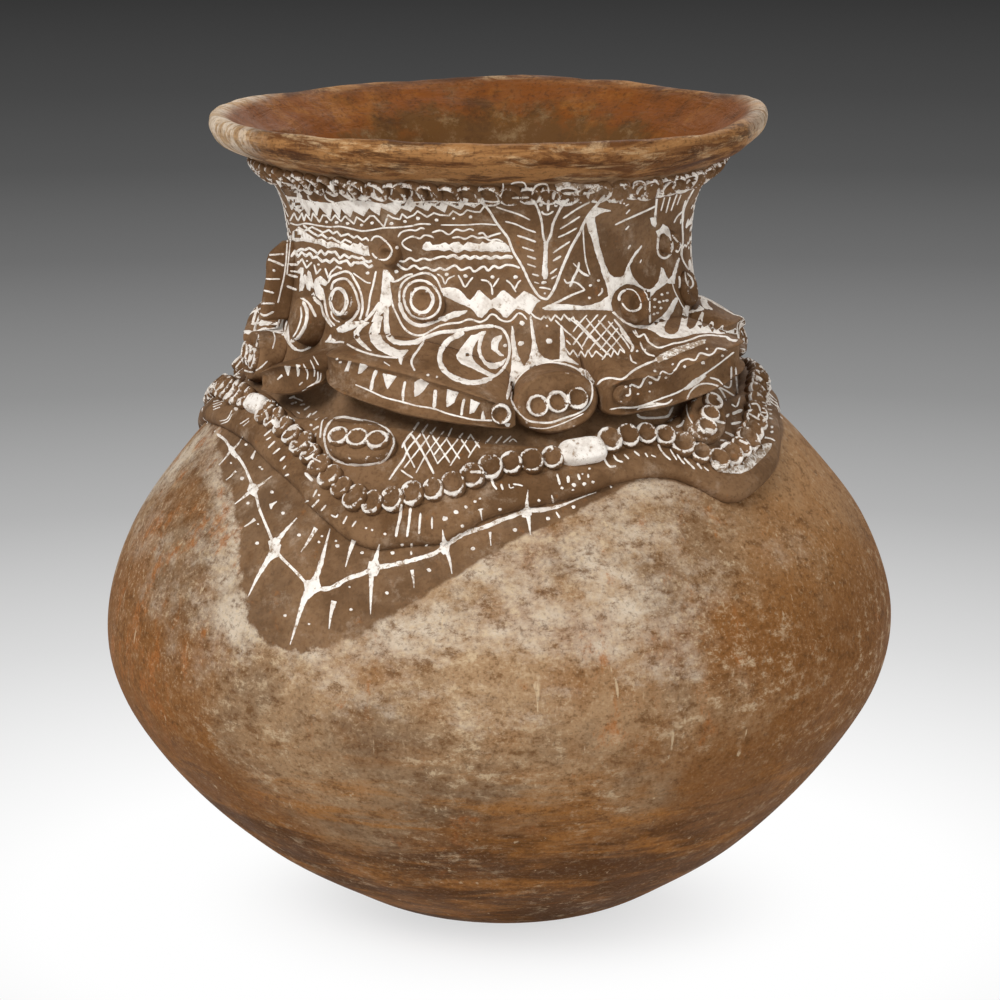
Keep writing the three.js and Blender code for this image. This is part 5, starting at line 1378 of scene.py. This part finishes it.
shoulderMarks = dict(areas=[
    (0.8, 273,413, 276,417, 280,422, 280,427, 276,428, 272,424, 271.5,418),
    (0.52, 711,461, 716,460, 722,464, 730,463, 735,466, 745,460, 752,452, 757,446, 765,443, 772,443, 771,448, 766,455,
     758,463, 750,470, 740,474, 728,473, 718,472, 712,467),
], lines=[
    (1, 212,402, 224,398.5), (1, 213,404.5, 223,401), (1, 213,407, 222,403.5), (1, 213,409.8, 220,407),
    (1.2, 220,421, 227,419, 232,410), (1.2, 221,424, 228,421, 232,414), (1.1, 240,424, 249,418),
    (1.1, 243,426, 249,421), (2.6, 264,409, 267,414, 267.5,420), (2, 269,401, 276,402, 278,406, 286,409),
    (2.2, 286,417, 291,418, 295,421), (1.6, 291,428, 295,426, 302,430), (2, 272,429, 264,436), (1.8, 271,437, 266,440),
    (2.2, 275,441, 268,448), (2, 280,448, 273,454), (2.4, 285,456, 280,461), (2, 286,465.5, 283,469),
    (2.4, 289,474, 285,476), (2, 313,497, 317,489), (2.2, 305,502, 309,500.5), (2.4, 311,508, 315,504, 319,499.5),
    (2.2, 321,511, 326,505), (2, 331,515, 336,517, 338,514), (2, 308,441, 314,446, 315,450, 310,455, 313,458, 321,462),
    (3.6, 305,473, 309,477, 313,481), (2, 320,438, 321,428, 323,420, 328,418),
    (2.7, 323.9,436.6, 326,428.2, 332.3,419.8, 342.1,417, 356.1,419.1, 375.8,423.3, 387,428.9, 394,440.8, 391.2,450.7,
     384.2,460.5, 367.4,464.7, 353.3,464.7, 339.3,461.9, 330.2,456.3, 326,447.9, 323.9,436.6),
    (2.4, 289,398.5, 295,396), (1.8, 293,397, 303,401), (2.2, 291,404, 297,402), (2, 300,405, 305,404),
    (1.8, 304,410, 310,406), (1.6, 297,412, 300,413.5), (2.2, 306,419, 311,413), (1.6, 312,415, 317,411),
    (2, 315,420, 320,417.5), (2.4, 313,430, 319,426), (1.4, 316,433, 315,437),
    (3.2, 401.5,504, 400,517, 397,530, 396,537), (3, 410.5,508, 409,522, 407,537), (2.6, 420.5,513, 419.5,525, 419,534),
    (2, 432,517, 432,529), (2, 343,524, 347,516), (2.2, 352,527, 356,521), (3, 491.5,477, 493,484, 497,489.5),
    (2.6, 501,484, 503,490), (1.6, 509,484, 510,488, 514,487), (2, 513,484, 520,485, 523,486),
    (2.6, 557,474, 559,481, 560,485), (3.4, 568,476, 568.5,483), (3, 578,474, 580,480), (2.4, 588,474, 588.5,478),
    (3, 470,472, 480,472, 487,473), (2.4, 603.5,453, 605,460, 610,466.5, 616,466), (2.4, 613.5,455, 617,460, 623,462),
    (2, 658,444, 661,450, 665,455, 671,460), (2, 670,449, 673,454, 677,460), (1.8, 677,454, 681,460, 685,464),
    (2, 684,458, 688,462, 695,469), (2, 697,463, 702,469), (1.6, 704,467, 709,471), (2, 624,454, 629,459),
    (2, 634,451, 640,456), (1.8, 645,453, 648,457), (1.6, 651,455, 656,457),
    (2.8, 637,414, 640,417, 650,418, 660,417.5, 668,416, 671,411, 673,407),
    (2, 637,410, 643,406, 655,403.5, 665,404, 670,401.5), (2.8, 667,422, 672,420, 677,416),
    (2.6, 676,427, 681,425, 684,420),
    (1.8, 692.7,423.6, 687.9,415.1, 686.6,403, 690.3,392.1, 698.8,384.8, 708.5,383.6, 716.9,386, 723,393.3,
     726.6,400.6),
    (2, 709.7,377.5, 718.1,380, 724.2,386, 729.7,387.2, 731.5,366.6),
    (2, 715.7,384.8, 726.6,390.9, 736.3,395.7, 736.3,377.5, 735.7,367.2), (1.8, 731.5,404.2, 736.3,406.6, 740,396.9),
    (3.4, 732,414, 742,410), (2.8, 726,417, 729,414), (2.8, 716,421, 725,423), (2.8, 731,424, 741,422),
    (3.6, 705,429, 714,431), (2.8, 700,428, 705,433), (2.6, 725,432, 734,436), (2.8, 739,440, 748,444),
    (2, 720,440, 727,441), (2, 723,448, 729,442), (1.4, 762,402, 771,405), (1.5, 762,408, 772,410),
    (1.6, 761,412, 772,414), (1.6, 761,415, 773,419), (1.8, 763,437, 772,439, 775,441),
    (2, 751,404, 757,404, 760,410, 758,418), (2, 748,413, 755,417, 760,420),
], dots=[
    (2, 236,409), (2.8, 445,518.5), (2.4, 456,512), (1.8, 466,507), (1.8, 462.5,526), (1.5, 475,501.5), (1.2, 366,528),
    (1.2, 372,530), (1.4, 385,534), (1.6, 562,488), (1, 582.5,474), (2.2, 574,485), (1.2, 573,490), (2, 584,484),
    (1.6, 593,482), (1.2, 589.5,468.5), (1.2, 611,487), (1.2, 319,495), (1.5, 772,427), (1.5, 772,432),
    (1.2, 480,498.5), (1.4, 311,425),
])
# the long thorned line over the belly
vineMarks = dict(cover=0.74, areas=[
    (0.85, 303,580, 310,580, 318,573, 320,583, 322,590, 314,594, 308,600, 305,592),
    (0.8, 268,541, 276,537, 281,545, 279,556, 272,560, 266,564, 270,552),
    (0.85, 250,482, 256,484, 259,489, 255,497, 249,494, 247,490),
    (0.85, 228,444, 233,447, 238,456, 236,459, 231,454, 228,450),
    (0.85, 369,561, 378,560, 381,568, 377,576, 370,577, 367,571),
    (0.95, 440,543, 446,540, 450,544, 449,552, 443,555, 440,551),
    (0.95, 521,511, 526,506, 531,508, 532,515, 527,518, 522,517), (0.9, 250,458, 254,451, 257,449, 253,460),
    (0.9, 268.5,504, 272,503, 281,499, 276,503, 273,506, 271,510),
], lines=[
    (3.2, 217,434, 225,440, 231,449, 238,457, 244,466, 249,477, 253,487, 256,495, 259,508, 263,518, 268,530, 272,540,
     276,549, 281,557, 288,564, 297,573, 305,582),
    (4.6, 308,586, 325,589, 335,586, 345,580, 352,577, 362,574, 372,569, 380,567, 392,565, 405,562, 420,558, 435,553,
     445,546, 452,541, 460,536, 470,531.5, 480,528.5, 490,525, 500,520.5, 510,517, 520,513, 527,510.5, 540,510,
     550,508.5),
    (2.6, 411.5,543, 411.5,548), (2.4, 411,551, 411.5,555), (2, 425,546, 428,544.5), (2.2, 551.5,495, 553.5,503),
    (2.2, 556,512, 560,518), (2, 478,510, 483,509),
], spikes=[
    (4, 548,509, 560,506, 575,500, 585,496, 596,492.5), (3, 231,450, 226,457, 219,465), (3, 233,449, 238,444, 243,436),
    (4.4, 253,489, 245,496, 235,504), (3.5, 256,487, 263,483, 272,476), (6, 276,543, 285,531, 297,518),
    (7, 273,551, 266,563, 257,578, 248,597), (7, 315,580, 321,563, 327,540, 330,529),
    (7, 307,592, 302,606, 297,622, 290,645), (6.5, 375,562, 377,554, 379.5,544), (6, 371.5,572, 371,590, 370.5,615),
    (5.5, 444.5,545, 443.5,538, 442.5,530), (5.5, 446,549, 450,562, 452,574), (5.5, 527,510, 527,500, 528,490),
    (6, 527.5,512, 529,522, 530.5,535), (2.8, 236,471, 230,477, 226,480), (4, 255,519, 250,523, 244,527),
    (5.4, 316,528, 309,540, 301,552), (6, 334,601, 331,614, 329,629), (5.6, 354,540, 350,551, 345.5,567),
    (4, 412,570, 413.5,580, 414,588), (3, 480.5,510, 482,520), (3, 490,532, 490.5,540, 491,546),
], dots=[
    (1.5, 246,444.5), (1.3, 260,467), (1.2, 262,469), (2, 242,478.5), (1.6, 248,503), (1, 231,463), (1.8, 272,492),
    (1.8, 283,513), (1, 258,524), (1.8, 257,543), (1.8, 299,535), (1.4, 319,542), (1.2, 322,536), (1.6, 285,615.5),
    (1.2, 309,624), (2, 429,570), (1.8, 387,593), (1.6, 351,609.5), (1.1, 349.5,587), (1.7, 362,552.5), (2, 392.5,553),
    (2, 473,548.5), (2, 337.5,546), (1.2, 336,541), (1.6, 402,545), (1.8, 500,509.5), (2, 515,530), (2, 548,518.5),
    (2, 573.5,507), (1.6, 539,500.5),
])

# the step, brush, dab and fill are in units of the picture frame
paint = dict(step=1.5, thick=0.00034, edge=-0.00006, grazing=0.1, leap=0.007, bareMargin=0.001, backOff=0.3, seed=11,
             lineCover=0.9, dotCover=0.95)
brush = dict(wander=0.16, wanderPitch=0.4, broadFrom=3.2, leastHalf=0.45, taper=0.86, taperCurve=0.9, blunt=1.2,
             shortest=2.5, endShare=0.45)
dab = dict(steps=9, rough=0.35, shape=(1.12, 0.95), crown=0.6)
fill = dict(grid=3.2, gridMargin=1.8, inset=0.9, insetMargin=0.6, ragged=0.5, raggedPitch=0.3)
# sides that the picture hides: how far the strokes of the face are turned, and the turns between which they are kept
hidden = dict(face=(-36, 62), right=(90, 78, 150), back=(180, 148, 240), backVine=(180, 100, 260),
              left=(270, 238, 282))
paintTree = BVHTree.FromPolygons(*[list(x) for x in joined(skins)])
strokeRng = random.Random(paint["seed"])


def eased(points, straight):
    points = np.asarray(points, float).reshape(-1, 2)
    longest = np.linalg.norm(np.diff(points, axis=0), axis=1).max()
    parts = max(1, int(math.ceil(longest / paint["step"])))
    if straight or len(points) == 2:
        shares = np.arange(parts)[:, None] / parts
        return np.concatenate([mix(a, b, shares) for a, b in zip(points[:-1], points[1:])] + [points[-1:]])
    fine = smoothRows(points, parts, False)
    run = runAlong(fine)
    even = np.linspace(0, run[-1], max(3, int(run[-1] / paint["step"]) + 1))
    return np.stack([np.interp(even, run, fine[:, k]) for k in (0, 1)], 1)


def sideways(ahead):
    ahead = ahead / np.maximum(np.linalg.norm(ahead, axis=1), 1e-6)[:, None]
    return np.stack([-ahead[:, 1], ahead[:, 0]], 1)


def ribbon(width, points, straight=False, pointed=False):
    # brush stroke in the picture plane, in rows from edge to edge
    path = eased(points, straight)
    count = len(path)
    side = sideways(np.gradient(path, axis=0))
    share = np.linspace(0, 1, count)
    half = np.full(count, width / 2)
    if pointed:
        half = half * (1 - brush["taper"] * share ** brush["taperCurve"])
    else:
        blunt = brush["blunt"] / max(count * paint["step"], brush["shortest"])
        half = half * np.clip(mix(brush["endShare"], 1, np.minimum(share, 1 - share) / blunt), 0, 1)
    shift = strokeRng.uniform(0, 90)
    waver = np.array([noise.noise(Vector((k * brush["wanderPitch"] + shift, shift, 0))) for k in range(count)])
    half = np.maximum(half * (1 + brush["wander"] * 2 * waver), brush["leastHalf"])
    across = 5 if width > brush["broadFrom"] else 3
    lanes = np.linspace(-1, 1, across)
    spots = np.concatenate([path + side * half[:, None] * t for t in lanes])
    lifts = np.repeat([paint["edge"] if abs(t) == 1 else paint["thick"] for t in lanes], count)
    faces = [(a * count + k, a * count + k + 1, (a + 1) * count + k + 1, (a + 1) * count + k)
             for a in range(across - 1) for k in range(count - 1)]
    return spots, lifts, faces


def blob(size, x, y):
    steps, shift = dab["steps"], strokeRng.uniform(0, 90)
    turns = np.arange(steps) * 2 * math.pi / steps
    bumps = np.array([noise.noise(Vector((math.cos(t) + shift, math.sin(t), 0))) for t in turns])
    rough = 1 + dab["rough"] * bumps
    ring = np.stack([np.cos(turns), np.sin(turns)], 1) * dab["shape"] * rough[:, None] * size
    spots = np.concatenate([ring, ring * dab["crown"], [[0, 0]]]) + [x, y]
    lifts = np.array([paint["edge"]] * steps + [paint["thick"]] * (steps + 1))
    faces = [(k, (k + 1) % steps, steps + (k + 1) % steps, steps + k) for k in range(steps)]
    faces += [(steps + k, steps + (k + 1) % steps, 2 * steps) for k in range(steps)]
    return spots, lifts, faces


def insideOf(outline, points):
    x, y = points[:, 0][:, None], points[:, 1][:, None]
    a, b = outline, np.roll(outline, -1, 0)
    crosses = (a[:, 1] > y) != (b[:, 1] > y)
    where = a[:, 0] + (y - a[:, 1]) * (b[:, 0] - a[:, 0]) / np.where(b[:, 1] == a[:, 1], 1e-9, b[:, 1] - a[:, 1])
    return (crosses & (x < where)).sum(1) % 2 == 1


def fromEdge(outline, points):
    a, b = outline, np.roll(outline, -1, 0)
    run = b - a
    t = np.clip(((points[:, None] - a) * run).sum(2) / np.maximum((run ** 2).sum(1), 1e-9), 0, 1)
    return np.linalg.norm(points[:, None] - (a + run * t[..., None]), axis=2).min(1)


def patch(points):
    # filled area in the picture plane
    corners = np.asarray(points, float).reshape(-1, 2)
    outline = eased(np.concatenate([corners, corners[:1]]), True)[:-1]
    pitch = fill["raggedPitch"]
    wander = np.array([[noise.noise(Vector((x * pitch, y * pitch, seed))) for seed in (4, 9)] for x, y in outline])
    outline = outline + wander * fill["ragged"]
    low, high = outline.min(0), outline.max(0)
    xs, ys = np.meshgrid(*[np.arange(low[k], high[k], fill["grid"]) for k in (0, 1)])
    grid = np.stack([xs.ravel(), ys.ravel()], 1)
    side = sideways(np.roll(outline, -1, 0) - np.roll(outline, 1, 0)) * fill["inset"]
    inset = np.concatenate([outline + side, outline - side])
    inset = inset[insideOf(outline, inset)]
    inset = inset[fromEdge(outline, inset) > fill["insetMargin"]]
    grid = grid[insideOf(outline, grid)]
    grid = grid[fromEdge(outline, grid) > fill["gridMargin"]] if len(grid) else grid.reshape(0, 2)
    spots = np.concatenate([outline, inset, grid])
    count = len(outline)
    made, _, faces, origins, _, _ = delaunay_2d_cdt(
        [Vector(p) for p in spots], [(k, (k + 1) % count) for k in range(count)], [list(range(count))], 1, 0.02)
    onEdge = [not origin or any(o < count for o in origin) for origin in origins]
    return np.array([tuple(v) for v in made]), np.where(onEdge, paint["edge"], paint["thick"]), [tuple(f) for f in faces]


def strokesOf(marks):
    for points in marks.get("areas", []):
        yield patch(points[1:]) + (points[0],)
    for key, straight, pointed in (("lines", False, False), ("zigzags", True, False), ("spikes", False, True)):
        for points in marks.get(key, []):
            yield ribbon(points[0], points[1:], straight, pointed) + (marks.get("cover", paint["lineCover"]),)
    for size, x, y in marks.get("dots", []):
        yield blob(size, x, y) + (paint["dotCover"],)


def layStroke(rays, starts, lifts, faces, cover):
    # drops a stroke on the clay; what misses, grazes or tears is left out
    points = np.full((len(rays), 3), np.nan)
    for k, (ray, start) in enumerate(zip(rays, starts)):
        hit, normal, _, _ = paintTree.ray_cast(Vector(start), Vector(ray))
        if hit is None:
            continue
        slant = normal.dot(Vector(ray))
        if abs(slant) > paint["grazing"]:
            points[k] = np.array(hit) + np.array(normal) * (lifts[k] if slant < 0 else -lifts[k])
    turns, heights = turnAndHeight(points)
    bare = np.minimum(slipHeight(turns), mantleLower(turns)) - paint["bareMargin"]
    points[heights < bare] = np.nan  # nothing on the bare clay
    kept = []
    for face in faces:
        ring = points[list(face)]
        if np.isnan(ring).any() or np.linalg.norm(ring - np.roll(ring, 1, 0), axis=1).max() > paint["leap"]:
            continue
        turn = np.cross(ring[1] - ring[0], ring[2] - ring[0])
        kept.append(tuple(reversed(face)) if np.dot(turn, rays[face[0]]) > 0 else face)
    used = sorted({k for face in kept for k in face})
    again = {k: n for n, k in enumerate(used)}
    return dict(points=points[used], faces=[tuple(again[k] for k in face) for face in kept], cover=cover,
                rays=rays[used], lifts=lifts[used])


def layMarks(*sets):
    strokes = []
    for marks in sets:
        for spots, lifts, faces, cover in strokesOf(marks):
            rays = np.array([sightLine(x, y) for x, y in spots])
            strokes.append(layStroke(rays, np.tile(viewFrom, (len(spots), 1)), lifts, faces, cover))
    return [stroke for stroke in strokes if stroke["faces"]]


def addLime(name, strokes):
    points, faces = joined([(s["points"], s["faces"]) for s in strokes])
    cover = np.concatenate([np.full(len(s["points"]), s["cover"]) for s in strokes])
    addPiece(name, points, faces, limeWhite, [], "lime_white", {"cover": cover}, skin=False)


def middleTurn(stroke):
    return np.median(turnAndHeight(stroke["points"])[0])


def turnedRound(strokes, turn, low, high):
    # the same strokes laid again further round the pot, kept between two turns
    cos, sin = math.cos(math.radians(turn)), math.sin(math.radians(turn))
    wheel = np.array([[cos, -sin, 0], [sin, cos, 0], [0, 0, 1.0]])
    moved = []
    for stroke in strokes:
        if low <= middleTurn(stroke) + turn <= high:
            target = handFormed(unformed(stroke["points"]) @ wheel.T)
            rays = stroke["rays"] @ wheel.T
            starts = target - rays * paint["backOff"]
            moved.append(layStroke(rays, starts, stroke["lifts"], stroke["faces"], stroke["cover"]))
    return [stroke for stroke in moved if stroke["faces"]]


faceStrokes = layMarks(collarMarks, eyeMarks, swirlMarks, foreheadMarks, starMarks, hatchMarks, jawMarks, shoulderMarks)
flankStrokes = layMarks(flankMarks)
vineStrokes = layMarks(vineMarks)
addLime("lime_front", faceStrokes + flankStrokes + vineStrokes)
ownFace = [stroke for stroke in faceStrokes if hidden["face"][0] < middleTurn(stroke) < hidden["face"][1]]
addLime("lime_right", turnedRound(ownFace, *hidden["right"]))
addLime("lime_back", turnedRound(ownFace, *hidden["back"]) + turnedRound(vineStrokes, *hidden["backVine"]))
addLime("lime_left", turnedRound(ownFace, *hidden["left"]))
print("lime painted")

# floor that fades from white near the pot to grey behind it
stage = dict(radius=9, corners=64, grey=(0.82, 0.82, 0.82, 1), roughness=0.9, fadeOver=5.0,
             shadow=(0.03, 0.21, 0.62, 1.0),
             fade=[(0.1, 238), (0.14, 219), (0.23, 179), (0.33, 145), (0.48, 109), (0.61, 85), (0.75, 71)],
             near=(0.06, 255), far=(1.0, 52))
floorMesh = bpy.data.meshes.new("floor")
corners = [2 * math.pi * k / stage["corners"] for k in range(stage["corners"])]
floorMesh.from_pydata([(stage["radius"] * math.cos(a), stage["radius"] * math.sin(a), 0) for a in corners], [],
                      [tuple(range(stage["corners"]))])
floor = inScene("floor", floorMesh)
floorLook = Finish("pale_floor")
ways = floorLook.node("ShaderNodeLightPath").outputs
seenBy = floorLook.maths("MAXIMUM", *[ways["Is %s Ray" % kind] for kind in ("Glossy", "Transmission", "Camera")])
away = floorLook.node("ShaderNodeVectorMath", {"Vector": floorLook.place}, operation="LENGTH").outputs["Value"]
fade = floorLook.node("ShaderNodeValToRGB", {"Fac": floorLook.maths("DIVIDE", away, stage["fadeOver"])})
steps = fade.color_ramp.elements
for step, (spot, shade) in zip(list(steps), (stage["near"], stage["far"])):
    step.position, step.color = spot, tint(shade, shade, shade)
for spot, shade in stage["fade"]:
    steps.new(spot).color = tint(shade, shade, shade)
glow = floorLook.node("ShaderNodeEmission", {"Color": fade.outputs["Color"], "Strength": 1.0})
floorLook.shader.inputs["Base Color"].default_value = stage["grey"]
floorLook.shader.inputs["Roughness"].default_value = stage["roughness"]
lit = floorLook.times(seenBy, floorLook.between(away, *stage["shadow"]))
mixed = floorLook.node("ShaderNodeMixShader", {"Fac": lit})
for socket, light in zip(mixed.inputs[1:3], (floorLook.shader, glow)):
    floorLook.tree.links.new(light.outputs[0], socket)
floorLook.tree.links.new(mixed.outputs[0], floorLook.tree.nodes["Material Output"].inputs["Surface"])
floorMesh.materials.append(floorLook.look)

# soft lamps, sky and camera
lamps = [dict(name="key_lamp", place=(-1.6, -2.4, 2.6), aim=(0, 0, 0.25), size=1.6, power=92),
         dict(name="fill_lamp", place=(2.4, -2.2, 1.3), aim=(0, 0, 0.25), size=1.8, power=26),
         dict(name="back_lamp", place=(0.6, 2.6, 2.2), aim=(0, 0, 0.3), size=1.6, power=40)]
sky = dict(colour=(1, 1, 1, 1), strength=0.32)
for one in lamps:
    light = bpy.data.lights.new(one["name"], "AREA")
    light.shape, light.size, light.energy = "DISK", one["size"], one["power"]
    holder = inScene(one["name"], light)
    holder.location = one["place"]
    holder.rotation_euler = (Vector(one["aim"]) - Vector(one["place"])).to_track_quat("-Z", "Y").to_euler()
world = bpy.data.worlds.new("studio")
bpy.context.scene.world = world
world.use_nodes = True
world.node_tree.nodes["Background"].inputs["Color"].default_value = sky["colour"]
world.node_tree.nodes["Background"].inputs["Strength"].default_value = sky["strength"]
bpy.context.scene.view_settings.view_transform = "Standard"

camera = bpy.data.cameras.new("camera")
camera.sensor_width = viewer["sensor"]
camera.lens = viewer["scale"] / viewer["frame"] * viewer["sensor"]
eye = inScene("camera", camera)
eye.location = viewFrom
eye.rotation_euler = (math.radians(90 - viewer["pitch"]), 0, 0)
bpy.context.scene.camera = eye
print("floor, lamps and camera set")
